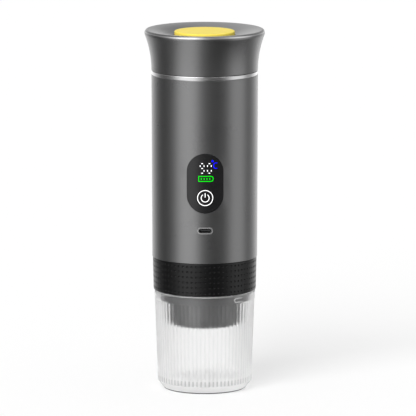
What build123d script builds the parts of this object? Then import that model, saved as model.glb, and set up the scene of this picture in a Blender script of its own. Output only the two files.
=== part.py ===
"""Hand-held battery espresso maker that stands on its own reeded cup.

From the table up: the clear cup, the brew head inside its black grip ring, the battery body with
display, pump and heated water tank, and the flared screw lid with its vent button.
Millimetres, +Z up, origin at the centre of the cup's foot. The display faces -Y.
"""

import math
import os

from build123d import *

os.makedirs("parts", exist_ok=True)

# Fits
overrun = 1.0  # how far a cut runs past the face that it opens
glue_gap = 0.05  # pieces that are pressed or glued together
slip_gap = 0.3  # pieces that lift, turn or slide past each other
bearing_gap = 0.05  # a shaft in its hole

# Battery cells around the motor: they set how wide the body is
motor_radius = 11.9
motor_length = 38.0
motor_clearance = 1.7
motor_cap_inset = 1.5
motor_cap_height = 2.4
motor_round = 1.0
cell_count = 3
cell_radius = 9.2
cell_length = 65.0
cell_clearance = 1.0
cell_headroom = 0.3
cell_first_angle = 90.0

# Housing
housing_wall = 1.8
housing_taper = 0.4
housing_edge_round = 0.15

# Grip ring
grip_height = 22.0
grip_inset = 0.35
grip_taper = 0.5
grip_wall = 2.35
grip_bottom_round = 0.8
grip_top_round = 0.3

# Clear cup
cup_height = 66.5
cup_inset = 0.55
cup_wall = 2.4
cup_taper = 2.1
cup_base_wall = 2.7
cup_shoulder_height = 5.7
cup_shoulder_width = 4.3
cup_shoulder_round = 1.2
cup_foot_round = 0.5
cup_foot_width = 5.0
cup_recess_depth = 0.6
cup_floor_thickness = 8.8
cup_floor_fillet = 4.0
cup_rim_band = 6.3
cup_rim_round = 0.6
reed_count = 72
reed_height = 0.25
reed_recess = 0.15

# Brew head and what it holds
collar_clearance = 0.8
collar_drop = 6.3
collar_step = 4.9
nozzle_drop = 23.5
nozzle_wall = 1.5
nozzle_floor = 4.0
nozzle_round = 4.5
lug_count = 3
lug_first_angle = -43.7
lug_length = 8.6
lug_width = 3.4
lug_rib = 0.8
lug_height = 0.35
lug_drop = 4.2
basket_gap = 0.4
basket_wall = 0.8
basket_depth = 27.0
basket_flange_width = 2.8
basket_flange_thickness = 1.2
strainer_hole_radius = 0.8
strainer_row_pitch = 5.6
strainer_row_count = 3
strainer_first_count = 6
spout_radius = 4.0
spout_bore_radius = 2.6
spout_drop = 0.4
spout_flange_radius = 6.2
spout_flange_thickness = 1.0

# Joint between the brew head and the body
body_gap = 0.25
spigot_wall = 3.0
spigot_depth = 8.3
brew_gasket_width = 3.6
brew_gasket_thickness = 2.2

# Base plate and shower screen
base_thickness = 3.25
screen_inset = 0.5
screen_thickness = 0.6
screen_boss_radius = 4.0
screw_head_radius = 3.0
screw_head_height = 1.0
screw_shank_radius = 1.5
screw_shank_length = 5.0

# Inner frame and deck
cradle_inset = 1.0
cradle_thickness = 4.0
cradle_lift = 32.0
cradle_front_gap = 2.5
post_radius = 2.6
post_spread = 3.7
post_angles = (30.0, 150.0)
deck_thickness = 3.0
deck_front_gap = 2.8
deck_ring_inset = 2.5
deck_ring_wall = 3.0
deck_ring_height = 2.7
deck_screw_head_radius = 2.4
deck_screw_head_height = 1.5
deck_screw_radius = 1.1
deck_screw_length = 8.0

# Heater, water tank and screw neck
heater_inset = 0.5
heater_thickness = 4.0
sensor_radius = 1.6
sensor_length = 4.0
sensor_seat = 2.4
sensor_offset = 12.0
tank_wall = 1.0
tank_height = 37.2
tank_step = 0.5
tank_lip_inset = 0.4
tank_gasket_thickness = 1.0
neck_inset = 5.6
neck_wall = 2.6
neck_flange_height = 5.0
neck_height = 9.8
trim_inset = 0.1
trim_width = 3.95
trim_height = 2.6
trim_round = 0.25

# Pump and hoses
pump_clearance = 1.545
pump_wall = 3.85
pump_floor = 2.0
pump_cover_thickness = 3.0
pump_boss_radius = 2.2
pump_boss_height = 4.0
pump_boss_inset = 2.6
pump_screw_radius = 0.8
pump_screw_head_radius = 1.5
pump_screw_head_height = 1.2
pump_screw_inset = 1.9
pump_port_inset = 1.65
pump_port_radius = 1.4
gear_teeth = 12
gear_pressure_angle = 25.0
gear_addendum = 0.55
gear_dedendum = 0.75
gear_backlash = 0.12
gear_width = 5.8
gear_side_gap = 0.1
gear_tip_gap = 0.1
shaft_radius = 1.0
shaft_seat = 1.2
motor_shaft_seat = 6.0
hose_radius = 2.4
hose_bore_radius = 1.5
hose_clearance = 0.7
barb_bore_radius = 0.9
barb_length = 5.0
outlet_hose_radius = 2.2
outlet_hose_bore_radius = 1.2

# Display, button and charging port
window_lift = 53.55
window_width = 23.9
window_height = 39.6
window_recess = 0.12
window_clearance = 0.12
window_flange = 1.5
window_flange_thickness = 1.0
board_clearance = 6.6
board_thickness = 1.2
board_width = 26.0
module_width = 18.0
module_height = 17.0
module_rise = 6.1
button_drop = 9.55
button_radius = 5.75
button_clearance = 0.2
button_flange_width = 1.25
button_flange_thickness = 0.8
button_travel = 0.5
switch_size = 6.0
usb_lift = 22.1
usb_width = 9.0
usb_height = 3.2
usb_wall = 0.32
usb_inset = 0.25
usb_tongue_width = 6.7
usb_tongue_thickness = 0.7
usb_tongue_setback = 1.2
usb_bezel_wall = 0.65

# Lid
lid_gap = 0.25
lid_height = 26.95
lid_flare = 4.4
lid_flare_height = 23.75
lid_rim_width = 1.1
lid_wall = 2.0
lid_edge_round = 0.2
lid_crest_round = 0.9
dish_depth = 3.8
dish_sag = 0.6
dish_thickness = 2.6
well_floor_thickness = 1.6
lid_seal_thickness = 2.0
liner_lift = 0.5
liner_skirt_wall = 1.8
liner_flange_height = 2.0
liner_plate_thickness = 2.4
liner_guide_height = 2.5
liner_guide_wall = 1.3
liner_post_radius = 2.8
liner_post_offset = 14.0
liner_post_count = 3
vent_hole_radius = 0.9
vent_hole_offset = 7.4
vent_hole_count = 4

# Vent button, stem, valve and spring
vent_button_radius = 20.0
vent_button_thickness = 3.4
vent_button_inset = 1.0
vent_button_round = 0.8
vent_button_clearance = 0.35
vent_travel = 1.5
vent_press_gap = 0.2
stem_radius = 2.6
stem_head_radius = 8.0
stem_head_thickness = 0.9
stem_collar_radius = 6.4
stem_collar_thickness = 1.2
stem_stop_gap = 0.4
stem_bead = 0.8
valve_radius = 9.2
valve_thickness = 1.6
spring_wire_radius = 0.42
spring_clearance = 0.58
spring_turns = 3

# Heights, stacked from the table up
grip_top = cup_height + grip_height
body_bottom = grip_top + body_gap
spigot_bottom = body_bottom - spigot_depth
brew_gasket_bottom = spigot_bottom - brew_gasket_thickness
basket_seat = brew_gasket_bottom - basket_flange_thickness
nozzle_bottom = cup_height - nozzle_drop
collar_bottom = cup_height - collar_drop
chamber_floor = nozzle_bottom + nozzle_floor
base_top = body_bottom + base_thickness
cell_top = base_top + cell_length
pump_bottom = base_top + pump_boss_height
gear_floor = pump_bottom + pump_floor
pump_cover_bottom = gear_floor + gear_width + 2 * gear_side_gap
pump_cover_top = pump_cover_bottom + pump_cover_thickness
motor_top = pump_cover_top + motor_length
window_middle = body_bottom + window_lift
button_middle = window_middle - button_drop
usb_middle = body_bottom + usb_lift
module_top = window_middle + module_rise + module_height / 2
board_top = max(cell_top, motor_top + motor_cap_height, module_top)
deck_bottom = board_top + cell_headroom
deck_top = deck_bottom + deck_thickness
heater_bottom = deck_top + deck_ring_height
tank_bottom = heater_bottom + heater_thickness
tank_top = tank_bottom + tank_height
neck_bottom = tank_top + tank_gasket_thickness
housing_top = neck_bottom + neck_flange_height
neck_top = housing_top + neck_height
trim_top = housing_top + trim_height
lid_bottom = trim_top + lid_gap
lid_top = lid_bottom + lid_height
liner_plate_bottom = neck_top + lid_seal_thickness
liner_plate_top = liner_plate_bottom + liner_plate_thickness
dish_edge = lid_top - dish_depth
button_bottom = lid_top - vent_button_inset - vent_button_thickness
stem_head_bottom = button_bottom - stem_head_thickness
well_floor = stem_head_bottom - vent_travel - vent_press_gap
well_bottom = well_floor - well_floor_thickness
stem_collar_top = well_bottom - stem_stop_gap
stem_collar_bottom = stem_collar_top - stem_collar_thickness
valve_bottom = liner_plate_bottom - valve_thickness

# Radii, from the motor out to the housing and from there to the pieces above and below it
cell_offset = motor_radius + motor_clearance + cell_radius
housing_bottom_radius = cell_offset + cell_radius + cell_clearance + housing_wall
housing_top_radius = housing_bottom_radius + housing_taper
grip_top_radius = housing_bottom_radius - grip_inset
grip_bottom_radius = grip_top_radius - grip_taper
sleeve_radius = grip_bottom_radius - grip_wall
cup_rim_radius = grip_bottom_radius - cup_inset
cup_mouth_radius = cup_rim_radius - cup_wall
cup_base_radius = cup_rim_radius - cup_taper
cup_floor_radius = cup_base_radius - cup_base_wall
cup_foot_radius = cup_base_radius - cup_shoulder_width
cup_recess_radius = cup_foot_radius - cup_foot_width
collar_radius = cup_mouth_radius - collar_clearance
nozzle_radius = collar_radius - collar_step
chamber_radius = nozzle_radius - nozzle_wall
basket_radius = chamber_radius - basket_gap
basket_flange_radius = chamber_radius + basket_flange_width
spigot_radius = basket_flange_radius
spigot_inner_radius = spigot_radius - spigot_wall
socket_radius = spigot_radius + slip_gap
brew_gasket_inner_radius = spigot_radius - brew_gasket_width
neck_radius = housing_top_radius - neck_inset
neck_bore_radius = neck_radius - neck_wall
neck_skirt_radius = neck_radius + slip_gap
trim_radius = housing_top_radius - trim_inset
tank_radius = neck_bore_radius - tank_step
tank_lip_radius = neck_radius - tank_lip_inset
heater_radius = tank_radius - heater_inset
deck_ring_radius = heater_radius - deck_ring_inset
lid_flare_radius = housing_top_radius + lid_flare
lid_crest_radius = lid_flare_radius - lid_rim_width
well_radius = vent_button_radius + vent_button_clearance
cradle_radius = cell_offset + cell_radius - cradle_inset
post_offset = cell_offset + post_spread
cell_side_offset = cell_offset * abs(math.cos(math.radians(cell_first_angle + 360 / cell_count)))
pump_radius = cell_side_offset - cell_radius - pump_clearance
gear_tip_radius = pump_radius - pump_wall - gear_tip_gap
gear_pitch_radius = gear_tip_radius - gear_addendum
gear_centre_distance = 2 * gear_pitch_radius
pump_boss_offset = pump_radius - pump_boss_inset
pump_screw_reach = pump_radius - pump_screw_inset
pump_port_offset = gear_tip_radius - pump_port_inset
guide_radius = stem_radius + slip_gap
spring_radius = guide_radius + liner_guide_wall + spring_clearance + spring_wire_radius

# Depths in front of the axis, towards the display
hose_depth = motor_radius + hose_clearance + hose_radius
board_depth = hose_depth + hose_radius + board_clearance
board_front = board_depth + board_thickness
cradle_front = board_depth - cradle_front_gap
deck_flat = board_front + deck_front_gap
front_reach = max(housing_bottom_radius, housing_top_radius) + overrun


def polar(radius, degrees):
    """Point on a circle about the Z axis."""
    angle = math.radians(degrees)
    return (radius * math.cos(angle), radius * math.sin(angle))


def housing_radius(height):
    """Outer radius of the tapered housing at a height above the table."""
    share = (height - body_bottom) / (housing_top - body_bottom)
    return housing_bottom_radius + share * (housing_top_radius - housing_bottom_radius)


def cup_wall_radius(height):
    """Outer radius of the cup's tapered wall at a height above the table."""
    share = (height - cup_shoulder_height) / (cup_height - cup_shoulder_height)
    return cup_base_radius + share * (cup_rim_radius - cup_base_radius)


def turned(*points):
    """Closed profile of straight lines for a piece turned about the Z axis."""
    with BuildSketch(Plane.XZ) as profile:
        with BuildLine():
            Polyline(*points, close=True)
        make_face()
    return profile.sketch


def ring_profile(outer_radius, inner_radius, low, high):
    """Rectangular profile of a plain turned ring."""
    return turned((inner_radius, low), (outer_radius, low), (outer_radius, high), (inner_radius, high))


def skin_profile(outer_depth, inner_depth):
    """Profile of a shell that follows the housing's outer face between two depths below it."""
    low = housing_bottom_radius
    high = housing_top_radius
    return turned(
        (low - outer_depth, body_bottom),
        (high - outer_depth, housing_top),
        (high - inner_depth, housing_top),
        (low - inner_depth, body_bottom),
    )


# Cup: turned envelope, reeds lofted up the tapered wall, then the cavity
with BuildPart() as reeds:
    for height in (-overrun, cup_height - cup_rim_band):
        crest = cup_wall_radius(height) - reed_recess
        valley = crest - reed_height
        pitch = 360 / reed_count
        with BuildSketch(Plane.XY.offset(height)):
            with BuildLine():
                for index in range(reed_count):
                    ThreePointArc(
                        polar(valley, index * pitch),
                        polar(crest, (index + 0.5) * pitch),
                        polar(valley, (index + 1) * pitch),
                    )
            make_face()
    loft(ruled=True)
    with BuildSketch(Plane.XY.offset(cup_height - cup_rim_band)):
        Circle(cup_rim_radius + overrun)
    extrude(amount=cup_rim_band + overrun)

with BuildPart() as cup:
    with BuildSketch(Plane.XZ):
        with BuildLine():
            Polyline(
                (0, cup_height),
                (0, cup_recess_depth),
                (cup_recess_radius, cup_recess_depth),
                (cup_recess_radius, 0),
                (cup_foot_radius, 0),
                (cup_base_radius, cup_shoulder_height),
                (cup_rim_radius, cup_height),
                close=True,
            )
        section = make_face()
        shoulder = section.vertices().sort_by_distance((cup_base_radius, cup_shoulder_height))[0]
        fillet(shoulder, cup_shoulder_round)
        fillet(section.vertices().sort_by_distance((cup_foot_radius, 0))[0], cup_foot_round)
    revolve(axis=Axis.Z)
    fillet(cup.edges().filter_by(GeomType.CIRCLE).group_by(Axis.Z)[-1], cup_rim_round)
    add(reeds.part, mode=Mode.INTERSECT)
    with BuildSketch(Plane.XZ):
        with BuildLine():
            Polyline(
                (0, cup_floor_thickness),
                (cup_floor_radius, cup_floor_thickness),
                (cup_mouth_radius, cup_height),
                (0, cup_height),
                close=True,
            )
        cavity = make_face()
        fillet(cavity.vertices().group_by(Axis.Y)[0].sort_by(Axis.X)[-1], cup_floor_fillet)
    revolve(axis=Axis.Z, mode=Mode.SUBTRACT)
cup.part.label = "cup"
export_step(cup.part, "parts/cup.step")

# Brew head: sleeve for the grip ring, collar that plugs the cup, nozzle with the coffee chamber
lug_planes = [
    Plane(
        origin=(0, 0, cup_height - lug_drop),
        x_dir=(*polar(1, lug_first_angle + index * 360 / lug_count + 90), 0),
        z_dir=(*polar(1, lug_first_angle + index * 360 / lug_count), 0),
    )
    for index in range(lug_count)
]
with BuildPart() as lugs:
    with BuildSketch(*lug_planes):
        SlotOverall(lug_length, lug_width)
        SlotOverall(lug_length - 2 * lug_rib, lug_width - 2 * lug_rib, mode=Mode.SUBTRACT)
        with Locations((lug_length / 2, 0)):
            Rectangle(lug_width, lug_width - 2 * lug_rib, mode=Mode.SUBTRACT)
    extrude(amount=collar_radius + overrun)
    revolve(
        ring_profile(collar_radius + lug_height, collar_radius - lug_height, collar_bottom, cup_height),
        axis=Axis.Z,
        mode=Mode.INTERSECT,
    )

with BuildPart() as brew_head:
    revolve(
        turned(
            (spout_radius + glue_gap, nozzle_bottom),
            (nozzle_radius, nozzle_bottom),
            (nozzle_radius, collar_bottom),
            (collar_radius, collar_bottom),
            (collar_radius, cup_height),
            (sleeve_radius, cup_height),
            (sleeve_radius, grip_top),
            (socket_radius, grip_top),
            (socket_radius, basket_seat),
            (chamber_radius, basket_seat),
            (chamber_radius, chamber_floor),
            (spout_radius + glue_gap, chamber_floor),
        ),
        axis=Axis.Z,
    )
    fillet(brew_head.edges().group_by(Axis.Z)[0].sort_by(SortBy.RADIUS)[-1], nozzle_round)
    add(lugs.part)
brew_head.part.label = "brew_head"
export_step(brew_head.part, "parts/brew_head.step")

basket_bottom = basket_seat - basket_depth
with BuildPart() as filter_basket:
    revolve(
        turned(
            (0, basket_bottom),
            (basket_radius, basket_bottom),
            (basket_radius, basket_seat),
            (basket_flange_radius, basket_seat),
            (basket_flange_radius, basket_seat + basket_flange_thickness),
            (basket_radius - basket_wall, basket_seat + basket_flange_thickness),
            (basket_radius - basket_wall, basket_bottom + basket_wall),
            (0, basket_bottom + basket_wall),
        ),
        axis=Axis.Z,
    )
    with BuildSketch(Plane.XY.offset(basket_bottom - overrun)):
        for row in range(1, strainer_row_count + 1):
            with PolarLocations(row * strainer_row_pitch, row * strainer_first_count):
                Circle(strainer_hole_radius)
    extrude(amount=basket_wall + 2 * overrun, mode=Mode.SUBTRACT)
filter_basket.part.label = "filter_basket"
export_step(filter_basket.part, "parts/filter_basket.step")

with BuildPart() as outlet_spout:
    revolve(
        turned(
            (spout_bore_radius, nozzle_bottom - spout_drop),
            (spout_radius, nozzle_bottom - spout_drop),
            (spout_radius, chamber_floor),
            (spout_flange_radius, chamber_floor),
            (spout_flange_radius, chamber_floor + spout_flange_thickness),
            (spout_bore_radius, chamber_floor + spout_flange_thickness),
        ),
        axis=Axis.Z,
    )
outlet_spout.part.label = "outlet_spout"
export_step(outlet_spout.part, "parts/outlet_spout.step")

with BuildPart() as grip_ring:
    revolve(
        turned(
            (sleeve_radius + glue_gap, cup_height),
            (grip_bottom_radius, cup_height),
            (grip_top_radius, grip_top),
            (sleeve_radius + glue_gap, grip_top),
        ),
        axis=Axis.Z,
    )
    fillet(grip_ring.edges().group_by(Axis.Z)[0].sort_by(SortBy.RADIUS)[-1], grip_bottom_round)
    fillet(grip_ring.edges().group_by(Axis.Z)[-1].sort_by(SortBy.RADIUS)[-1], grip_top_round)
grip_ring.part.label = "grip_ring"
export_step(grip_ring.part, "parts/grip_ring.step")

with BuildPart() as brew_gasket:
    revolve(
        ring_profile(spigot_radius, brew_gasket_inner_radius, brew_gasket_bottom, spigot_bottom),
        axis=Axis.Z,
    )
brew_gasket.part.label = "brew_gasket"
export_step(brew_gasket.part, "parts/brew_gasket.step")

# Housing: tapered tube with openings for the display window and the charging port
with BuildPart() as housing:
    revolve(skin_profile(0, housing_wall), axis=Axis.Z)
    for ends in (housing.edges().group_by(Axis.Z)[0], housing.edges().group_by(Axis.Z)[-1]):
        fillet(ends.sort_by(SortBy.RADIUS)[-1], housing_edge_round)
    with BuildSketch(Plane.XZ):
        with Locations((0, window_middle)):
            SlotOverall(window_height + 2 * window_clearance, window_width + 2 * window_clearance, rotation=90)
        with Locations((0, usb_middle)):
            SlotOverall(
                usb_width + 2 * (usb_bezel_wall + glue_gap),
                usb_height + 2 * (usb_bezel_wall + glue_gap),
            )
    extrude(amount=front_reach, mode=Mode.SUBTRACT)
housing.part.label = "housing"
export_step(housing.part, "parts/housing.step")

with BuildPart() as trim_ring:
    revolve(
        ring_profile(trim_radius, trim_radius - trim_width, housing_top, trim_top), axis=Axis.Z
    )
    fillet(trim_ring.edges().filter_by(GeomType.CIRCLE).group_by(SortBy.RADIUS)[-1], trim_round)
trim_ring.part.label = "trim_ring"
export_step(trim_ring.part, "parts/trim_ring.step")

# Base plate: closes the housing, screws into the brew head and carries screen and pump
screen_bottom = spigot_bottom + screen_inset
screen_top = screen_bottom + screen_thickness
pump_boss_spots = [
    polar(pump_boss_offset, 45),
    polar(pump_boss_offset, 135),
    (0, -gear_centre_distance - pump_boss_offset),
]
outlet_spot = (-pump_port_offset, -gear_pitch_radius)
with BuildPart() as base_plate:
    revolve(
        turned(
            (0, screen_top),
            (screen_boss_radius, screen_top),
            (screen_boss_radius, body_bottom),
            (spigot_inner_radius, body_bottom),
            (spigot_inner_radius, spigot_bottom),
            (spigot_radius, spigot_bottom),
            (spigot_radius, body_bottom),
            (housing_bottom_radius - housing_wall - glue_gap, body_bottom),
            (housing_bottom_radius - housing_wall - glue_gap, base_top),
            (0, base_top),
        ),
        axis=Axis.Z,
    )
    with BuildSketch(Plane.XY.offset(base_top)):
        with Locations(*pump_boss_spots):
            Circle(pump_boss_radius)
    extrude(amount=pump_boss_height)
    with BuildSketch(Plane.XY.offset(body_bottom - overrun)):
        with Locations(outlet_spot):
            Circle(outlet_hose_bore_radius)
    extrude(amount=base_thickness + 2 * overrun, mode=Mode.SUBTRACT)
    with BuildSketch(Plane.XY.offset(screen_top)):
        Circle(screw_shank_radius + glue_gap)
    extrude(amount=screw_shank_length, mode=Mode.SUBTRACT)
base_plate.part.label = "base_plate"
export_step(base_plate.part, "parts/base_plate.step")

with BuildPart() as shower_screen:
    with BuildSketch(Plane.XY.offset(screen_bottom)):
        Circle(spigot_inner_radius - glue_gap)
        Circle(screw_shank_radius + glue_gap, mode=Mode.SUBTRACT)
        for row in range(1, strainer_row_count + 1):
            with PolarLocations(row * strainer_row_pitch, row * strainer_first_count):
                Circle(strainer_hole_radius, mode=Mode.SUBTRACT)
    extrude(amount=screen_thickness)
shower_screen.part.label = "shower_screen"
export_step(shower_screen.part, "parts/shower_screen.step")

with BuildPart() as screen_screw:
    revolve(
        turned(
            (0, screen_bottom - screw_head_height),
            (screw_head_radius, screen_bottom - screw_head_height),
            (screw_head_radius, screen_bottom),
            (screw_shank_radius, screen_bottom),
            (screw_shank_radius, screen_top + screw_shank_length),
            (0, screen_top + screw_shank_length),
        ),
        axis=Axis.Z,
    )
screen_screw.part.label = "screen_screw"
export_step(screen_screw.part, "parts/screen_screw.step")

# Battery cells, the cradle between them and the frame posts up to the deck
with BuildPart() as battery_cells:
    with BuildSketch(Plane.XY.offset(base_top)):
        with PolarLocations(cell_offset, cell_count, start_angle=cell_first_angle):
            Circle(cell_radius)
    extrude(amount=cell_length)
battery_cells.part.label = "battery_cells"
export_step(battery_cells.part, "parts/battery_cells.step")

post_spots = [polar(post_offset, angle) for angle in post_angles]
hose_spot = (0, -hose_depth)
with BuildPart() as battery_cradle:
    with BuildSketch(Plane.XY.offset(base_top + cradle_lift)):
        Circle(cradle_radius)
        Circle(motor_radius + slip_gap, mode=Mode.SUBTRACT)
        with PolarLocations(cell_offset, cell_count, start_angle=cell_first_angle):
            Circle(cell_radius + glue_gap, mode=Mode.SUBTRACT)
        with Locations(*post_spots):
            Circle(post_radius + glue_gap, mode=Mode.SUBTRACT)
        with Locations(hose_spot):
            Circle(hose_radius + slip_gap, mode=Mode.SUBTRACT)
        with Locations((0, -cradle_front)):
            Rectangle(
                2 * cradle_radius,
                cradle_radius,
                align=(Align.CENTER, Align.MAX),
                mode=Mode.SUBTRACT,
            )
    extrude(amount=cradle_thickness)
battery_cradle.part.label = "battery_cradle"
export_step(battery_cradle.part, "parts/battery_cradle.step")

with BuildPart() as frame_posts:
    with BuildSketch(Plane.XY.offset(base_top)):
        with Locations(*post_spots):
            Circle(post_radius)
    extrude(amount=deck_bottom - base_top)
    with BuildSketch(Plane.XY.offset(deck_bottom)):
        with Locations(*post_spots):
            Circle(deck_screw_radius + glue_gap)
    extrude(amount=-deck_screw_length, mode=Mode.SUBTRACT)
frame_posts.part.label = "frame_posts"
export_step(frame_posts.part, "parts/frame_posts.step")

# Deck over the cells, with the ring that carries the heater
with BuildPart() as upper_deck:
    with BuildSketch(Plane.XY.offset(deck_bottom)):
        Circle(housing_radius(deck_bottom) - housing_wall - slip_gap)
        with Locations((0, -deck_flat)):
            Rectangle(
                2 * housing_top_radius,
                housing_top_radius,
                align=(Align.CENTER, Align.MAX),
                mode=Mode.SUBTRACT,
            )
        with Locations(*post_spots):
            Circle(deck_screw_radius + glue_gap, mode=Mode.SUBTRACT)
        with Locations(hose_spot):
            Circle(hose_radius + slip_gap, mode=Mode.SUBTRACT)
        with Locations((0, sensor_offset)):
            Circle(sensor_radius + slip_gap, mode=Mode.SUBTRACT)
    extrude(amount=deck_thickness)
    revolve(
        ring_profile(deck_ring_radius, deck_ring_radius - deck_ring_wall, deck_top, heater_bottom),
        axis=Axis.Z,
    )
upper_deck.part.label = "upper_deck"
export_step(upper_deck.part, "parts/upper_deck.step")

with BuildPart() as deck_screws:
    with BuildSketch(Plane.XY.offset(deck_top)):
        with Locations(*post_spots):
            Circle(deck_screw_head_radius)
    extrude(amount=deck_screw_head_height)
    with BuildSketch(Plane.XY.offset(deck_top)):
        with Locations(*post_spots):
            Circle(deck_screw_radius)
    extrude(amount=-deck_screw_length)
deck_screws.part.label = "deck_screws"
export_step(deck_screws.part, "parts/deck_screws.step")

# Heater under the tank, with its sensor
with BuildPart() as heater_plate:
    with BuildSketch(Plane.XY.offset(heater_bottom)):
        Circle(heater_radius)
        with Locations(hose_spot):
            Circle(hose_radius + slip_gap, mode=Mode.SUBTRACT)
    extrude(amount=heater_thickness)
    with BuildSketch(Plane.XY.offset(heater_bottom)):
        with Locations((0, sensor_offset)):
            Circle(sensor_radius + glue_gap)
    extrude(amount=sensor_seat, mode=Mode.SUBTRACT)
heater_plate.part.label = "heater_plate"
export_step(heater_plate.part, "parts/heater_plate.step")

with BuildPart() as thermistor:
    with BuildSketch(Plane.XY.offset(heater_bottom + sensor_seat)):
        with Locations((0, sensor_offset)):
            Circle(sensor_radius)
    extrude(amount=-sensor_length)
thermistor.part.label = "thermistor"
export_step(thermistor.part, "parts/thermistor.step")

# Water tank: a deep-drawn cup with a lip, drained through a hose barb in its floor
with BuildPart() as water_tank:
    revolve(
        turned(
            (0, tank_bottom),
            (tank_radius + tank_wall, tank_bottom),
            (tank_radius + tank_wall, tank_top - tank_wall),
            (tank_lip_radius, tank_top - tank_wall),
            (tank_lip_radius, tank_top),
            (tank_radius, tank_top),
            (tank_radius, tank_bottom + tank_wall),
            (0, tank_bottom + tank_wall),
        ),
        axis=Axis.Z,
    )
    with BuildSketch(Plane.XY.offset(tank_bottom)):
        with Locations(hose_spot):
            Circle(hose_bore_radius - glue_gap)
    extrude(amount=-barb_length)
    with BuildSketch(Plane.XY.offset(tank_bottom - barb_length)):
        with Locations(hose_spot):
            Circle(barb_bore_radius)
    extrude(amount=barb_length + tank_wall, mode=Mode.SUBTRACT)
water_tank.part.label = "water_tank"
export_step(water_tank.part, "parts/water_tank.step")

with BuildPart() as tank_gasket:
    revolve(ring_profile(tank_lip_radius, neck_bore_radius, tank_top, neck_bottom), axis=Axis.Z)
tank_gasket.part.label = "tank_gasket"
export_step(tank_gasket.part, "parts/tank_gasket.step")

with BuildPart() as tank_neck:
    revolve(
        turned(
            (neck_bore_radius, neck_bottom),
            (housing_top_radius - housing_wall - slip_gap, neck_bottom),
            (housing_top_radius - housing_wall - slip_gap, housing_top),
            (neck_radius, housing_top),
            (neck_radius, neck_top),
            (neck_bore_radius, neck_top),
        ),
        axis=Axis.Z,
    )
tank_neck.part.label = "tank_neck"
export_step(tank_neck.part, "parts/tank_neck.step")


def gear_outline(tooth_angle):
    """Outline of an involute spur gear, with the middle of one tooth at an angle."""
    pressure = math.radians(gear_pressure_angle)
    base_radius = gear_pitch_radius * math.cos(pressure)
    root_radius = gear_pitch_radius - gear_dedendum
    pitch_half_angle = math.pi / (2 * gear_teeth) - gear_backlash / (4 * gear_pitch_radius)

    def half_angle(radius):
        """Half of the tooth's angle at a radius, in degrees."""
        roll = math.acos(base_radius / radius)
        spread = math.tan(pressure) - pressure - math.tan(roll) + roll
        return math.degrees(pitch_half_angle + spread)

    middle_radius = (base_radius + gear_tip_radius) / 2
    foot = half_angle(base_radius)
    middle = half_angle(middle_radius)
    tip = half_angle(gear_tip_radius)
    pitch = 360 / gear_teeth
    with BuildSketch() as outline:
        with BuildLine():
            for index in range(gear_teeth):
                at = tooth_angle + index * pitch
                Line(polar(root_radius, at - foot), polar(base_radius, at - foot))
                ThreePointArc(
                    polar(base_radius, at - foot),
                    polar(middle_radius, at - middle),
                    polar(gear_tip_radius, at - tip),
                )
                ThreePointArc(
                    polar(gear_tip_radius, at - tip),
                    polar(gear_tip_radius, at),
                    polar(gear_tip_radius, at + tip),
                )
                ThreePointArc(
                    polar(gear_tip_radius, at + tip),
                    polar(middle_radius, at + middle),
                    polar(base_radius, at + foot),
                )
                Line(polar(base_radius, at + foot), polar(root_radius, at + foot))
                ThreePointArc(
                    polar(root_radius, at + foot),
                    polar(root_radius, at + pitch / 2),
                    polar(root_radius, at + pitch - foot),
                )
        make_face()
    return outline.sketch


# Gear pump: meshed gears, body, cover, shaft, pin and screws, driven by the motor above
idler_spot = (0, -gear_centre_distance)
with BuildPart() as drive_gear:
    with BuildSketch(Plane.XY.offset(gear_floor + gear_side_gap)):
        add(gear_outline(-90))
        Circle(shaft_radius + glue_gap, mode=Mode.SUBTRACT)
    extrude(amount=gear_width)
drive_gear.part.label = "drive_gear"
export_step(drive_gear.part, "parts/drive_gear.step")

with BuildPart() as idler_gear:
    with BuildSketch(Plane.XY.offset(gear_floor + gear_side_gap)):
        with Locations(idler_spot):
            add(gear_outline(90 + 180 / gear_teeth))
            Circle(shaft_radius + bearing_gap, mode=Mode.SUBTRACT)
    extrude(amount=gear_width)
idler_gear.part.label = "idler_gear"
export_step(idler_gear.part, "parts/idler_gear.step")


def pump_outline(radius, height):
    """Slot about both gear axes, as the pump's outline or its gear chamber."""
    with BuildSketch(Plane.XY.offset(height)) as outline:
        with Locations((0, -gear_pitch_radius)):
            SlotCenterToCenter(gear_centre_distance, 2 * radius, rotation=90)
    return outline.sketch


pump_screw_grid = GridLocations(2 * pump_screw_reach, gear_centre_distance, 2, 2)
pump_screw_spots = [Location((0, -gear_pitch_radius)) * spot for spot in pump_screw_grid]
with BuildPart() as pump_body:
    extrude(pump_outline(pump_radius, pump_bottom), amount=pump_cover_bottom - pump_bottom)
    with BuildSketch(Plane.XY.offset(gear_floor)):
        with Locations((0, 0), idler_spot):
            Circle(gear_tip_radius + gear_tip_gap)
        with Locations((-pump_port_offset, -gear_pitch_radius), (pump_port_offset, -gear_pitch_radius)):
            Circle(pump_port_radius)
    extrude(amount=pump_cover_bottom - gear_floor, mode=Mode.SUBTRACT)
    with BuildSketch(Plane.XY.offset(gear_floor)):
        Circle(shaft_radius + bearing_gap)
        with Locations(idler_spot):
            Circle(shaft_radius + glue_gap)
    extrude(amount=-shaft_seat, mode=Mode.SUBTRACT)
    with BuildSketch(Plane.XY.offset(pump_bottom - overrun)):
        with Locations(outlet_spot):
            Circle(outlet_hose_bore_radius)
        with Locations(*pump_screw_spots):
            Circle(pump_screw_radius + glue_gap)
    extrude(amount=pump_cover_bottom - pump_bottom + 2 * overrun, mode=Mode.SUBTRACT)
pump_body.part.label = "pump_body"
export_step(pump_body.part, "parts/pump_body.step")

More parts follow.
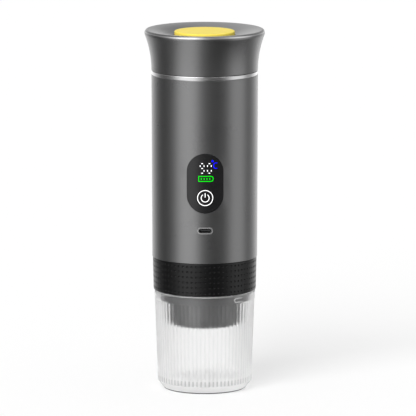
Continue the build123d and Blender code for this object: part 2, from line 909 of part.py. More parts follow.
inlet_spot = (pump_port_offset, -gear_pitch_radius)
inlet_middle = ((inlet_spot[0] + hose_spot[0]) / 2, (inlet_spot[1] + hose_spot[1]) / 2)
with BuildPart() as pump_cover:
    extrude(pump_outline(pump_radius, pump_cover_bottom), amount=pump_cover_thickness)
    with BuildSketch(Plane.XY.offset(pump_cover_bottom)):
        SlotCenterPoint(inlet_middle, inlet_spot, 2 * barb_bore_radius)
    extrude(amount=pump_cover_thickness / 2, mode=Mode.SUBTRACT)
    with BuildSketch(Plane.XY.offset(pump_cover_bottom)):
        Circle(shaft_radius + bearing_gap)
    extrude(amount=pump_cover_thickness, mode=Mode.SUBTRACT)
    with BuildSketch(Plane.XY.offset(pump_cover_bottom)):
        with Locations(idler_spot):
            Circle(shaft_radius + glue_gap)
        with Locations(*pump_screw_spots):
            Circle(pump_screw_radius + glue_gap)
    extrude(amount=shaft_seat, mode=Mode.SUBTRACT)
    with BuildSketch(Plane.XY.offset(pump_cover_top)):
        with Locations(hose_spot):
            Circle(hose_bore_radius - glue_gap)
    extrude(amount=barb_length)
    with BuildSketch(Plane.XY.offset(pump_cover_bottom)):
        with Locations(hose_spot):
            Circle(barb_bore_radius)
    extrude(amount=pump_cover_thickness + barb_length, mode=Mode.SUBTRACT)
pump_cover.part.label = "pump_cover"
export_step(pump_cover.part, "parts/pump_cover.step")

with BuildPart() as pump_screws:
    with BuildSketch(Plane.XY.offset(pump_bottom)):
        with Locations(*pump_screw_spots):
            Circle(pump_screw_head_radius)
    extrude(amount=-pump_screw_head_height)
    with BuildSketch(Plane.XY.offset(pump_bottom)):
        with Locations(*pump_screw_spots):
            Circle(pump_screw_radius)
    extrude(amount=pump_cover_bottom + shaft_seat - pump_bottom)
pump_screws.part.label = "pump_screws"
export_step(pump_screws.part, "parts/pump_screws.step")

with BuildPart() as idler_pin:
    with BuildSketch(Plane.XY.offset(gear_floor - shaft_seat)):
        with Locations(idler_spot):
            Circle(shaft_radius)
    extrude(amount=pump_cover_bottom - gear_floor + 2 * shaft_seat)
idler_pin.part.label = "idler_pin"
export_step(idler_pin.part, "parts/idler_pin.step")

with BuildPart() as drive_shaft:
    with BuildSketch(Plane.XY.offset(gear_floor - shaft_seat)):
        Circle(shaft_radius)
    extrude(amount=pump_cover_top + motor_shaft_seat - gear_floor + shaft_seat)
drive_shaft.part.label = "drive_shaft"
export_step(drive_shaft.part, "parts/drive_shaft.step")

with BuildPart() as motor_can:
    with BuildSketch(Plane.XY.offset(pump_cover_top)):
        Circle(motor_radius)
    extrude(amount=motor_length)
    fillet(motor_can.edges().group_by(Axis.Z)[-1], motor_round)
    with BuildSketch(Plane.XY.offset(pump_cover_top)):
        Circle(shaft_radius + bearing_gap)
    extrude(amount=motor_shaft_seat + slip_gap, mode=Mode.SUBTRACT)
motor_can.part.label = "motor_can"
export_step(motor_can.part, "parts/motor_can.step")

with BuildPart() as motor_cap:
    with BuildSketch(Plane.XY.offset(motor_top)):
        Circle(motor_radius - motor_cap_inset)
    extrude(amount=motor_cap_height)
    fillet(motor_cap.edges().group_by(Axis.Z)[-1], motor_round)
motor_cap.part.label = "motor_cap"
export_step(motor_cap.part, "parts/motor_cap.step")

with BuildPart() as inlet_hose:
    with BuildSketch(Plane.XY.offset(pump_cover_top)):
        with Locations(hose_spot):
            Circle(hose_radius)
            Circle(hose_bore_radius, mode=Mode.SUBTRACT)
    extrude(amount=tank_bottom - pump_cover_top)
inlet_hose.part.label = "inlet_hose"
export_step(inlet_hose.part, "parts/inlet_hose.step")

with BuildPart() as outlet_hose:
    with BuildSketch(Plane.XY.offset(base_top)):
        with Locations(outlet_spot):
            Circle(outlet_hose_radius)
            Circle(outlet_hose_bore_radius, mode=Mode.SUBTRACT)
    extrude(amount=pump_boss_height)
outlet_hose.part.label = "outlet_hose"
export_step(outlet_hose.part, "parts/outlet_hose.step")

# Display window: a curved lens in the housing's face, with a flange behind the wall
window_back_depth = housing_wall + glue_gap + window_flange_thickness
with BuildPart() as window_flange_plate:
    with BuildSketch(Plane.XZ):
        with Locations((0, window_middle)):
            SlotOverall(window_height + 2 * window_flange, window_width + 2 * window_flange, rotation=90)
    extrude(amount=front_reach)
    revolve(skin_profile(housing_wall + glue_gap, window_back_depth), axis=Axis.Z, mode=Mode.INTERSECT)

with BuildPart() as display_window:
    with BuildSketch(Plane.XZ):
        with Locations((0, window_middle)):
            SlotOverall(window_height, window_width, rotation=90)
    extrude(amount=front_reach)
    revolve(skin_profile(window_recess, window_back_depth), axis=Axis.Z, mode=Mode.INTERSECT)
    add(window_flange_plate.part)
    with BuildSketch(Plane.XZ):
        with Locations((0, button_middle)):
            Circle(button_radius + button_clearance)
    extrude(amount=front_reach, mode=Mode.SUBTRACT)
display_window.part.label = "display_window"
export_step(display_window.part, "parts/display_window.step")

# Power button: a cap flush with the lens on a flange that keeps it behind the lens
window_ends = (window_middle - window_height / 2, window_middle + window_height / 2)
window_back_radius = min(housing_radius(end) for end in window_ends) - window_back_depth
button_flange_radius = button_radius + button_flange_width
button_flange_front = math.sqrt(window_back_radius**2 - button_flange_radius**2) - slip_gap
button_flange_back = button_flange_front - button_flange_thickness
with BuildPart() as power_button:
    with BuildSketch(Plane.XZ.offset(button_flange_front)):
        with Locations((0, button_middle)):
            Circle(button_radius)
    extrude(amount=front_reach - button_flange_front)
    revolve(
        turned(
            (0, body_bottom),
            (housing_bottom_radius - window_recess, body_bottom),
            (housing_top_radius - window_recess, housing_top),
            (0, housing_top),
        ),
        axis=Axis.Z,
        mode=Mode.INTERSECT,
    )
    with BuildSketch(Plane.XZ.offset(button_flange_back)):
        with Locations((0, button_middle)):
            Circle(button_flange_radius)
    extrude(amount=button_flange_thickness)
power_button.part.label = "power_button"
export_step(power_button.part, "parts/power_button.step")

# Control board with the display module, the switch and the charging port on its front
with BuildPart() as control_board:
    with BuildSketch(Plane.XZ.offset(board_depth)):
        with Locations((0, base_top)):
            Rectangle(board_width, board_top - base_top, align=(Align.CENTER, Align.MIN))
    extrude(amount=board_thickness)
control_board.part.label = "control_board"
export_step(control_board.part, "parts/control_board.step")

module_front = math.sqrt(window_back_radius**2 - (module_width / 2) ** 2) - slip_gap
with BuildPart() as display_module:
    with BuildSketch(Plane.XZ.offset(board_front)):
        with Locations((0, window_middle + module_rise)):
            Rectangle(module_width, module_height)
    extrude(amount=module_front - board_front)
display_module.part.label = "display_module"
export_step(display_module.part, "parts/display_module.step")

switch_front = button_flange_back - button_travel - slip_gap
with BuildPart() as power_switch:
    with BuildSketch(Plane.XZ.offset(board_front)):
        with Locations((0, button_middle)):
            Rectangle(switch_size, switch_size)
    extrude(amount=(switch_front - board_front) / 2)
    with BuildSketch(Plane.XZ.offset(board_front)):
        with Locations((0, button_middle)):
            Circle(switch_size / 4)
    extrude(amount=switch_front - board_front)
power_switch.part.label = "power_switch"
export_step(power_switch.part, "parts/power_switch.step")

usb_front = housing_radius(usb_middle) - usb_inset
with BuildPart() as usb_shell:
    with BuildSketch(Plane.XZ.offset(board_front)):
        with Locations((0, usb_middle)):
            SlotOverall(usb_width, usb_height)
            SlotOverall(usb_width - 2 * usb_wall, usb_height - 2 * usb_wall, mode=Mode.SUBTRACT)
    extrude(amount=usb_front - board_front)
usb_shell.part.label = "usb_shell"
export_step(usb_shell.part, "parts/usb_shell.step")

with BuildPart() as usb_tongue:
    with BuildSketch(Plane.XZ.offset(board_front)):
        with Locations((0, usb_middle)):
            Rectangle(usb_tongue_width, usb_tongue_thickness)
    extrude(amount=usb_front - board_front - usb_tongue_setback)
usb_tongue.part.label = "usb_tongue"
export_step(usb_tongue.part, "parts/usb_tongue.step")

with BuildPart() as usb_bezel:
    with BuildSketch(Plane.XZ):
        with Locations((0, usb_middle)):
            SlotOverall(usb_width + 2 * usb_bezel_wall, usb_height + 2 * usb_bezel_wall)
            SlotOverall(usb_width + 2 * glue_gap, usb_height + 2 * glue_gap, mode=Mode.SUBTRACT)
    extrude(amount=front_reach)
    revolve(skin_profile(0, housing_wall), axis=Axis.Z, mode=Mode.INTERSECT)
usb_bezel.part.label = "usb_bezel"
export_step(usb_bezel.part, "parts/usb_bezel.step")

# Lid seal on the tank's rim
with BuildPart() as lid_seal:
    revolve(ring_profile(neck_radius, neck_bore_radius, neck_top, liner_plate_bottom), axis=Axis.Z)
lid_seal.part.label = "lid_seal"
export_step(lid_seal.part, "parts/lid_seal.step")

# Lid shell: trumpet flare, rounded rim, dished top with a well for the vent button
flare_start = (housing_top_radius, lid_bottom)
flare_end = (lid_flare_radius, lid_bottom + lid_flare_height)
crest = (lid_crest_radius, lid_top)
inner_flare_end = (lid_flare_radius - lid_wall, flare_end[1])
with BuildPart() as lid_shell:
    with BuildSketch(Plane.XZ):
        with BuildLine():
            flare = TangentArc(flare_start, flare_end, tangent=(0, 1))
            TangentArc(flare_end, crest, tangent=flare % 1)
            SagittaArc(crest, (well_radius, dish_edge), -dish_sag)
            Polyline(
                (well_radius, dish_edge),
                (well_radius, well_floor),
                (stem_radius + slip_gap, well_floor),
                (stem_radius + slip_gap, well_bottom),
                (well_radius + lid_wall, well_bottom),
                (well_radius + lid_wall, dish_edge - dish_thickness),
                inner_flare_end,
            )
            TangentArc((housing_top_radius - lid_wall, lid_bottom), inner_flare_end, tangent=(0, 1))
            Line((housing_top_radius - lid_wall, lid_bottom), flare_start)
        shell = make_face()
        fillet(shell.vertices().sort_by_distance(crest)[0], lid_crest_round)
    revolve(axis=Axis.Z)
    fillet(lid_shell.edges().group_by(Axis.Z)[0].sort_by(SortBy.RADIUS)[-1], lid_edge_round)
lid_shell.part.label = "lid_shell"
export_step(lid_shell.part, "parts/lid_shell.step")

# Lid liner: threaded skirt around the tank's neck, plate over it, guide and posts up to the shell
liner_bottom = lid_bottom + liner_lift
skirt_radius = neck_skirt_radius + liner_skirt_wall
with BuildPart() as lid_liner:
    revolve(
        turned(
            (neck_skirt_radius, liner_bottom),
            (housing_top_radius - lid_wall - glue_gap, liner_bottom),
            (housing_top_radius - lid_wall - glue_gap, liner_bottom + liner_flange_height),
            (skirt_radius, liner_bottom + liner_flange_height),
            (skirt_radius, liner_plate_top),
            (guide_radius + liner_guide_wall, liner_plate_top),
            (guide_radius + liner_guide_wall, liner_plate_top + liner_guide_height),
            (guide_radius, liner_plate_top + liner_guide_height),
            (guide_radius, liner_plate_bottom),
            (neck_skirt_radius, liner_plate_bottom),
        ),
        axis=Axis.Z,
    )
    with BuildSketch(Plane.XY.offset(liner_plate_top)):
        with PolarLocations(liner_post_offset, liner_post_count):
            Circle(liner_post_radius)
    extrude(amount=well_bottom - liner_plate_top)
    with BuildSketch(Plane.XY.offset(liner_plate_bottom - overrun)):
        with PolarLocations(vent_hole_offset, vent_hole_count):
            Circle(vent_hole_radius)
    extrude(amount=liner_plate_thickness + 2 * overrun, mode=Mode.SUBTRACT)
lid_liner.part.label = "lid_liner"
export_step(lid_liner.part, "parts/lid_liner.step")

# Vent: soft button in the dish, stem through the lid, valve disc under the liner's plate
with BuildPart() as vent_button:
    with BuildSketch(Plane.XY.offset(button_bottom)):
        Circle(vent_button_radius)
    extrude(amount=vent_button_thickness)
    fillet(vent_button.edges().group_by(Axis.Z)[-1], vent_button_round)
vent_button.part.label = "vent_button"
export_step(vent_button.part, "parts/vent_button.step")

with BuildPart() as vent_stem:
    revolve(
        turned(
            (0, valve_bottom - stem_bead),
            (stem_radius, valve_bottom - stem_bead),
            (stem_radius + stem_bead, valve_bottom),
            (stem_radius, valve_bottom),
            (stem_radius, stem_collar_bottom),
            (stem_collar_radius, stem_collar_bottom),
            (stem_collar_radius, stem_collar_top),
            (stem_radius, stem_collar_top),
            (stem_radius, stem_head_bottom),
            (stem_head_radius, stem_head_bottom),
            (stem_head_radius, button_bottom),
            (0, button_bottom),
        ),
        axis=Axis.Z,
    )
vent_stem.part.label = "vent_stem"
export_step(vent_stem.part, "parts/vent_stem.step")

with BuildPart() as vent_valve:
    revolve(ring_profile(valve_radius, stem_radius + glue_gap, valve_bottom, liner_plate_bottom), axis=Axis.Z)
vent_valve.part.label = "vent_valve"
export_step(vent_valve.part, "parts/vent_valve.step")

# Return spring: one wire on biarcs of a quarter turn each, between the liner's plate and the stem's collar
spring_bottom = liner_plate_top + spring_wire_radius
spring_rise = stem_collar_bottom - spring_wire_radius - spring_bottom
spring_steps = 4 * spring_turns


def spring_point(step):
    """Point on the spring's helix after a number of quarter turns."""
    return Vector(*polar(spring_radius, 90 * step), spring_bottom + spring_rise * step / spring_steps)


def spring_direction(step):
    """Unit tangent of the spring's helix after a number of quarter turns."""
    along = Vector(*polar(spring_radius, 90 * (step + 1)), spring_rise / (2 * math.pi * spring_turns))
    return along.normalized()


with BuildPart() as vent_spring:
    with BuildLine() as spring_path:
        for step in range(spring_steps):
            start = spring_point(step)
            end = spring_point(step + 1)
            leaving = spring_direction(step)
            arriving = spring_direction(step + 1)
            chord = end - start
            along = chord.dot(leaving + arriving)
            bend = 2 * (1 - leaving.dot(arriving))
            reach = (math.sqrt(along**2 + bend * chord.dot(chord)) - along) / bend
            first = start + leaving * reach
            second = end - arriving * reach
            knee = (first + second) * 0.5
            TangentArc(start, knee, tangent=leaving)
            TangentArc(knee, end, tangent=second - first)
    with BuildSketch(Plane(origin=spring_point(0), z_dir=spring_direction(0))):
        Circle(spring_wire_radius)
    sweep(path=spring_path.wires()[0])
vent_spring.part.label = "vent_spring"
export_step(vent_spring.part, "parts/vent_spring.step")

# Least gap of the wire to itself, between points at least half a turn apart
spring_count = spring_steps * 16
spring_samples = [spring_path.wires()[0] @ (index / spring_count) for index in range(spring_count + 1)]
half_turn = spring_count // (2 * spring_turns)
spring_gap = min(
    (spring_samples[late] - spring_samples[early]).length
    for early in range(spring_count + 1)
    for late in range(early + half_turn, spring_count + 1)
)
print("spring: least gap to itself", round(spring_gap - 2 * spring_wire_radius, 3))

print("overall height", round(lid_top, 3), "gear centre distance", round(gear_centre_distance, 5))
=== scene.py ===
"""Portable espresso maker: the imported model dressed, with its fine forms, in a white studio."""

import logging
import math
from collections.abc import Callable, Sequence
from dataclasses import dataclass
from enum import Enum

import bmesh
import bpy
from bmesh.types import BMEdge, BMesh, BMFace, BMVert
from mathutils import Matrix, Vector


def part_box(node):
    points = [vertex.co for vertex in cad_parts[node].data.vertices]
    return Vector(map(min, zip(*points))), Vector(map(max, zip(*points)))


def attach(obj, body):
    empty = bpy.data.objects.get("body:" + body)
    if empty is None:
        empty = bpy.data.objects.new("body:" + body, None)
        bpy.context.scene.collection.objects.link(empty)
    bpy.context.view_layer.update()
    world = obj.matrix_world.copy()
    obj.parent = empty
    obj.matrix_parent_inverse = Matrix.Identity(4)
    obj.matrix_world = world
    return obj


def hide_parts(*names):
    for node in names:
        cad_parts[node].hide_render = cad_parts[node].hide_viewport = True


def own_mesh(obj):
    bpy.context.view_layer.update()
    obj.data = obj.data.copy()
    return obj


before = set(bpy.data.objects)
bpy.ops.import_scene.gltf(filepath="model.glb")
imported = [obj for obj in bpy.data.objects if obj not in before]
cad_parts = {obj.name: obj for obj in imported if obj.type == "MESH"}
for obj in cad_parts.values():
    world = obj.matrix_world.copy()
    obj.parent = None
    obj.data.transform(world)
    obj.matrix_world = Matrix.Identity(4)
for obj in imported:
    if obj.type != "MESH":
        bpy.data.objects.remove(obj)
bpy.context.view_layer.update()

LOG = logging.getLogger("espresso_maker")
MM = 0.001
UP = (0.0, 0.0, 1.0)
ORIGIN = (0.0, 0.0, 0.0)
Colour = tuple[float, float, float]
Pair = tuple[float, float]
Geometry = Sequence[BMVert | BMEdge | BMFace]


@dataclass(frozen=True)
class Ramp:
    """A soft edge between 0 and 1.

    Attributes:
        edge: Where it lies.
        steepness: Change for each unit of length.
    """

    edge: float
    steepness: float


# The clear cup's skin: its reeds and where they run, the painted shade in the furrows and where
# the reeds end at the base, and the base's frosting
REEDS = 72
REED_WALL = Ramp(29.5 * MM, 4000.0)
REED_TOP = Ramp(60.2 * MM, 3000.0)
REED_FOOT = Ramp(5.2 * MM, 2000.0)
BASE_TOP = Ramp(9.2 * MM, 1500.0)
WALL_FURROW_SHADE = 0.27
FROST_TOP = Ramp(15.0 * MM, 160.0)
FROST_GAIN = 0.3

# Fine marks: their stretch along turned or drawn lines, the radius that makes a bearing a length,
# and the weights of marks, flecks and slow drift in tone and gloss
MARK_STRETCH = 0.02
MARK_RADIUS = 35.0 * MM
MARK_SHARE = 0.6
FLECK_DENSITY = 0.4
FLECK_WEIGHTS = (0.7, 0.5)
GLOSS_WEIGHTS = (1.2, 0.8)
DRIFT_SCALE = 60.0
BAND_STEEPNESS = 8000.0
SCATTER_DEPTH = 0.6 * MM


def arithmetic(operation: str, swapped: bool = False) -> Callable[["Wire", "Value"], "Wire"]:
    """Makes a method that adds one Math node.

    Args:
        operation: Operation of the node.
        swapped: True where the wire is the second value.

    Returns:
        A method for the class Wire.
    """

    def method(wire: "Wire", other: "Value") -> "Wire":
        """Joins a wire and another value in a Math node."""
        first, second = (other, wire) if swapped else (wire, other)
        return wire.graph.add("Math", {0: first, 1: second}, operation=operation)

    return method


class Wire:
    """An output socket that takes part in Python arithmetic by adding Math nodes."""

    __add__ = arithmetic("ADD")
    __radd__ = arithmetic("ADD", swapped=True)
    __sub__ = arithmetic("SUBTRACT")
    __rsub__ = arithmetic("SUBTRACT", swapped=True)
    __mul__ = arithmetic("MULTIPLY")
    __rmul__ = arithmetic("MULTIPLY", swapped=True)
    __truediv__ = arithmetic("DIVIDE")
    __rtruediv__ = arithmetic("DIVIDE", swapped=True)
    __pow__ = arithmetic("POWER")
    __rpow__ = arithmetic("POWER", swapped=True)
    highest = arithmetic("MAXIMUM")
    lowest = arithmetic("MINIMUM")
    bearing = arithmetic("ARCTAN2")

    def __init__(self, graph: "Graph", socket: bpy.types.NodeSocket | None) -> None:
        """Keeps the socket and the graph that it belongs to."""
        self.graph = graph
        self.socket = socket

    def clamped(self) -> "Wire":
        """Holds the value between 0 and 1."""
        return self.highest(0.0).lowest(1.0)

    def past(self, ramp: Ramp) -> "Wire":
        """Gives 0 before an edge and 1 past it."""
        return ((self - ramp.edge) * ramp.steepness).clamped()

    def short_of(self, ramp: Ramp) -> "Wire":
        """Gives 1 before an edge and 0 past it."""
        return ((ramp.edge - self) * ramp.steepness).clamped()


Value = Wire | float | Sequence[float]


class Graph:
    """The nodes of one material, or of the world."""

    def __init__(self, tree: bpy.types.NodeTree) -> None:
        """Keeps the node tree of a material or a world, emptied."""
        self.tree = tree
        tree.nodes.clear()

    def add(
        self,
        kind: str,
        sockets: dict[int | str, Value] | None = None,
        output: int | str = 0,
        **settings: object,
    ) -> Wire:
        """Adds a node.

        Args:
            kind: Node type, after the words ShaderNode.
            sockets: Values or links of its inputs, by name or number.
            output: Name or number of the output to return.
            settings: Properties of the node, set before its sockets.

        Returns:
            The chosen output.
        """
        node = self.tree.nodes.new("ShaderNode" + kind)
        for key, value in settings.items():
            setattr(node, key, value)
        for key, value in (sockets or {}).items():
            if isinstance(value, Wire):
                self.tree.links.new(value.socket, node.inputs[key])
            else:
                node.inputs[key].default_value = value
        return Wire(self, node.outputs[output] if node.outputs else None)

    def place(self, kind: str = "Object") -> Wire:
        """Reads the coordinates of a kind."""
        return self.add("TexCoord", output=kind)

    def axes(self, vector: Wire) -> list[Wire]:
        """Splits a vector into X, Y and Z."""
        return [self.add("SeparateXYZ", {0: vector}, axis) for axis in "XYZ"]

    def noise(self, place: Wire, scale: float, detail: float, roughness: float = 0.5) -> Wire:
        """Gives soft noise from 0 to 1."""
        sockets = {"Vector": place, "Scale": scale, "Detail": detail, "Roughness": roughness}
        return self.add("TexNoise", sockets, "Fac")

    def mix(self, share: Wire, first: Value, second: Value) -> Wire:
        """Mixes two colours."""
        return self.add("Mix", {0: share, 6: first, 7: second}, 2, data_type="RGBA")

    def front(self) -> Wire:
        """Gives 1 where a surface is met from outside."""
        return 1.0 - self.add("NewGeometry", output="Backfacing")

    def ray(self, fact: str) -> Wire:
        """Reads a fact about the ray, such as its kind."""
        return self.add("LightPath", output=fact)


class Pattern(Enum):
    """How a surface was made, which sets the direction of its fine marks."""

    GRAIN = "blasted or moulded skin, the same in every direction"
    TURNED = "fine rings left by a lathe"
    DRAWN = "fine lines along the height"
    FLECKED = "grain with a few brighter flecks"
    REEDED = "furrows between the reeds of a clear wall"


@dataclass(frozen=True)
class Skin:
    """The fine marks of a surface, with sizes in millimetres.

    Attributes:
        grain: Size of one mark.
        relief: Height of the marks.
        tone: Share by which the colour changes from mark to mark.
        gloss: Amount by which the roughness changes over the surface.
        pattern: Direction of the marks.
    """

    grain: float = 0.35
    relief: float = 0.006
    tone: float = 0.06
    gloss: float = 0.06
    pattern: Pattern = Pattern.GRAIN

    def marks(self, graph: Graph, place: Wire) -> Wire:
        """Adds the marks.

        Args:
            graph: Graph of the material.
            place: Object coordinates.

        Returns:
            A value from 0 to 1.
        """
        x, y, z = graph.axes(place)
        radius = (x * x + y * y) ** 0.5
        bearing = y.bearing(x)
        if self.pattern is Pattern.REEDED:
            return self.furrows(graph, radius, bearing, z)
        if self.pattern in (Pattern.TURNED, Pattern.DRAWN):
            drawn = self.pattern is Pattern.DRAWN
            along, around = (MARK_STRETCH, 1.0) if drawn else (1.0, MARK_STRETCH)
            sockets = {"X": radius, "Y": bearing * (MARK_RADIUS * around), "Z": z * along}
            place = graph.add("CombineXYZ", sockets)
        density = 1.0 / (self.grain * MM)
        noise = graph.noise(place, density, detail=3.0, roughness=0.55)
        if self.pattern is Pattern.FLECKED:
            sockets = {"Vector": place, "Scale": FLECK_DENSITY * density}
            flecks = graph.add("TexVoronoi", sockets, "Distance")
            noise = noise * FLECK_WEIGHTS[0] + flecks * FLECK_WEIGHTS[1]
        return noise

    @staticmethod
    def furrows(graph: Graph, radius: Wire, bearing: Wire, height: Wire) -> Wire:
        """Paints shade into the furrows between the cup's reeds, at full depth where the reeds end
        above the base.

        Args:
            graph: Graph of the material.
            radius: Distance from the axis.
            bearing: Angle about the axis.
            height: Height above the table.

        Returns:
            1 on the reeds and on smooth skin, lower where shade is painted in the furrows.
        """
        across = graph.add("Math", {0: bearing * float(REEDS)}, operation="COSINE")
        furrow_shade_mask = (across * 0.5 + 0.5) ** 2.0
        reeded = radius.past(REED_WALL) * height.short_of(REED_TOP) * height.past(REED_FOOT)
        # painted shade: a light share in the wall's furrows, full depth in the ticks at the base,
        # on the outer side only
        depth = WALL_FURROW_SHADE + height.short_of(BASE_TOP) * (1.0 - WALL_FURROW_SHADE)
        return 1.0 - furrow_shade_mask * reeded * graph.front() * depth


@dataclass(frozen=True)
class Band:
    """A stretch of a turned surface in another colour, with sizes in millimetres; most bands here
    are painted highlights and painted shade.

    Attributes:
        radius: Radius beyond which it lies.
        low: Its lowest height.
        high: Its highest height.
        colour: Its colour.
    """

    radius: float
    low: float
    high: float
    colour: Colour


@dataclass(frozen=True)
class Finish:
    """A surface finish, with linear colours.

    Attributes:
        name: Name of the material.
        slot: Slot of the record that it stands for; not used.
        colour: Colour of the surface.
        roughness: Mean roughness.
        skin: Fine marks of the surface.
        metallic: 1 for metal.
        coat: Weight of a clear coat.
        specular: Specular level.
        transmission: 1 for a clear solid.
        ior: Index of refraction.
        subsurface: Weight of the light that scatters inside.
        glow: Strength of its own light.
        bands: Stretches in another colour.
    """

    name: str
    slot: str
    colour: Colour
    roughness: float
    skin: Skin
    metallic: float = 0.0
    coat: float = 0.0
    specular: float = 0.5
    transmission: float = 0.0
    ior: float = 1.5
    subsurface: float = 0.0
    glow: float = 0.0
    bands: tuple[Band, ...] = ()

    def shade(self, swing: float) -> tuple[float, ...]:
        """Gives the colour made lighter or darker by a share, for a socket."""
        return (*(min(1.0, channel * (1.0 + swing)) for channel in self.colour), 1.0)

    def banded(self, graph: Graph, place: Wire, tone: Wire) -> Wire:
        """Colours the bands.

        Args:
            graph: Graph of the material.
            place: Object coordinates.
            tone: Colour of the rest of the surface.

        Returns:
            The colour of the whole surface.
        """
        x, y, z = graph.axes(place)
        radius = (x * x + y * y) ** 0.5
        outer = graph.front()
        for band in self.bands:
            over, under = z - band.low * MM, band.high * MM - z
            inside = (radius - band.radius * MM).lowest(over).lowest(under)
            share = (inside * BAND_STEEPNESS).clamped() * outer
            tone = graph.mix(share, tone, (*band.colour, 1.0))
        return tone

    def material(self) -> bpy.types.Material:
        """Makes the material, or returns it if it is there.

        Returns:
            A procedural material on Object coordinates.
        """
        ready = bpy.data.materials.get(self.name)
        if ready is not None:
            return ready
        material = bpy.data.materials.new(self.name)
        material.use_nodes = True
        graph = Graph(material.node_tree)
        place = graph.place()
        skin = self.skin
        marks = skin.marks(graph, place)
        drift = graph.noise(place, DRIFT_SCALE, detail=2.0)
        reeded = skin.pattern is Pattern.REEDED
        share = 1.0 if reeded else MARK_SHARE
        blend = marks * share + drift * (1.0 - share)
        tone = graph.mix(blend, self.shade(-skin.tone), self.shade(skin.tone))
        tone = self.banded(graph, place, tone)
        swing = drift * GLOSS_WEIGHTS[0] + marks * GLOSS_WEIGHTS[1]
        gloss = self.roughness - skin.gloss + swing * skin.gloss
        if reeded:
            gloss = gloss + graph.axes(place)[2].short_of(FROST_TOP) * FROST_GAIN
        bump = {"Strength": 1.0, "Distance": skin.relief * MM, "Height": marks}
        sockets: dict[int | str, Value] = {
            "Base Color": tone,
            "Roughness": gloss,
            "Metallic": self.metallic,
            "IOR": self.ior,
            "Normal": graph.add("Bump", bump),
            "Specular IOR Level": self.specular,
            "Transmission Weight": self.transmission,
            "Coat Weight": self.coat,
            "Subsurface Weight": self.subsurface,
            "Subsurface Scale": SCATTER_DEPTH,
        }
        if self.glow:
            sockets["Emission Color"] = tone
            sockets["Emission Strength"] = self.glow
        shader = graph.add("BsdfPrincipled", sockets)
        graph.add("OutputMaterial", {"Surface": shader})
        return material


CLEAR_CUP = Finish(
    "polished_clear_plastic",
    "clear_plastic",
    colour=(0.72, 0.72, 0.72),
    roughness=0.28,
    # tone sets how dark the painted furrow shade is against the clear colour
    skin=Skin(pattern=Pattern.REEDED, relief=0.0, tone=0.34, gloss=0.03),
    coat=0.05,
    transmission=0.97,
    ior=1.21,
    bands=(
        # painted shade: a dark line along the foot's bottom edge
        Band(radius=26.0, low=-0.2, high=0.95, colour=(0.02, 0.02, 0.02)),
    ),
)
# A pale, frosted bead in the rim: its whiter colour is a painted highlight, the bright line along
# the rim.
RIM_BEAD_HIGHLIGHT = Finish(
    "rim_bead_painted_highlight",
    "clear_plastic",
    colour=(0.92, 0.92, 0.92),
    roughness=0.4,
    skin=Skin(grain=0.2, relief=0.0, tone=0.03),
    transmission=0.84,
    ior=1.16,
)
SATIN_BODY = Finish(
    "satin_anodised_grey",
    "body_grey",
    colour=(0.285, 0.285, 0.287),
    roughness=0.28,
    skin=Skin(grain=0.09, relief=0.0012, tone=0.05, gloss=0.03),
    metallic=0.96,
    bands=(
        # painted highlight: the bright line along the front of the lid's rim
        Band(radius=36.9, low=238.4, high=239.1, colour=(0.5, 0.5, 0.503)),
        # painted shade: the darker top of the lid's rim, above that line
        Band(radius=36.9, low=239.2, high=241.0, colour=(0.25, 0.25, 0.252)),
    ),
)
BRIGHT_TRIM = Finish(
    "polished_trim",
    "trim_bright",
    colour=(0.92, 0.92, 0.925),
    roughness=0.2,
    skin=Skin(pattern=Pattern.TURNED, grain=0.12, relief=0.0012, tone=0.03, gloss=0.04),
    metallic=1.0,
)
GRIP_RUBBER = Finish(
    "matt_black_rubber",
    "grip_black",
    colour=(0.0025, 0.0025, 0.0027),
    roughness=0.28,
    skin=Skin(grain=0.12, relief=0.003, tone=0.12, gloss=0.05),
    specular=0.49,
)
HEAD_PLASTIC = Finish(
    "satin_grey_head",
    "head_grey",
    colour=(0.178, 0.178, 0.179),
    roughness=0.33,
    skin=Skin(grain=0.12, relief=0.0015, gloss=0.05),
    metallic=0.9,
    bands=(
        Band(radius=29.5, low=56.0, high=66.4, colour=(0.148, 0.148, 0.149)),
        # painted highlight: the bright bayonet lug on the collar
        Band(radius=30.38, low=60.4, high=64.2, colour=(0.93, 0.93, 0.935)),
    ),
)
SMOKED_LENS = Finish(
    "smoked_gloss_lens",
    "window_black",
    colour=(0.009, 0.009, 0.0095),
    roughness=0.13,
    skin=Skin(grain=0.5, relief=0.0003, tone=0.1, gloss=0.03),
    coat=0.25,
)
BUTTON_GLOSS = Finish(
    "gloss_black_button",
    "button_black",
    colour=(0.009, 0.009, 0.0095),
    roughness=0.15,
    skin=Skin(grain=0.5, relief=0.0003, tone=0.1, gloss=0.03),
    coat=0.2,
)
YELLOW_SILICONE = Finish(
    "matt_yellow_silicone",
    "vent_yellow",
    colour=(0.92, 0.735, 0.1),
    roughness=0.52,
    skin=Skin(grain=0.25, tone=0.035),
    subsurface=0.08,
)
SEAL_SILICONE = Finish(
    "milky_seal_silicone",
    "seal_silicone",
    colour=(0.76, 0.76, 0.73),
    roughness=0.5,
    skin=Skin(grain=0.3, relief=0.004, tone=0.04),
    subsurface=0.15,
)
STAINLESS = Finish(
    "turned_stainless",
    "stainless",
    colour=(0.6, 0.6, 0.61),
    roughness=0.27,
    skin=Skin(pattern=Pattern.TURNED, grain=0.14, relief=0.0025, gloss=0.07),
    metallic=1.0,
)
DRAWN_STAINLESS = Finish(
    "drawn_stainless",
    "stainless",
    colour=(0.6, 0.6, 0.61),
    roughness=0.3,
    skin=Skin(pattern=Pattern.DRAWN, grain=0.16, relief=0.0025, tone=0.07, gloss=0.08),
    metallic=1.0,
)
INNER_BLACK = Finish(
    "moulded_black_plastic",
    "inner_black",
    colour=(0.033, 0.033, 0.035),
    roughness=0.48,
    skin=Skin(grain=0.22, relief=0.008, tone=0.12, gloss=0.09),
)
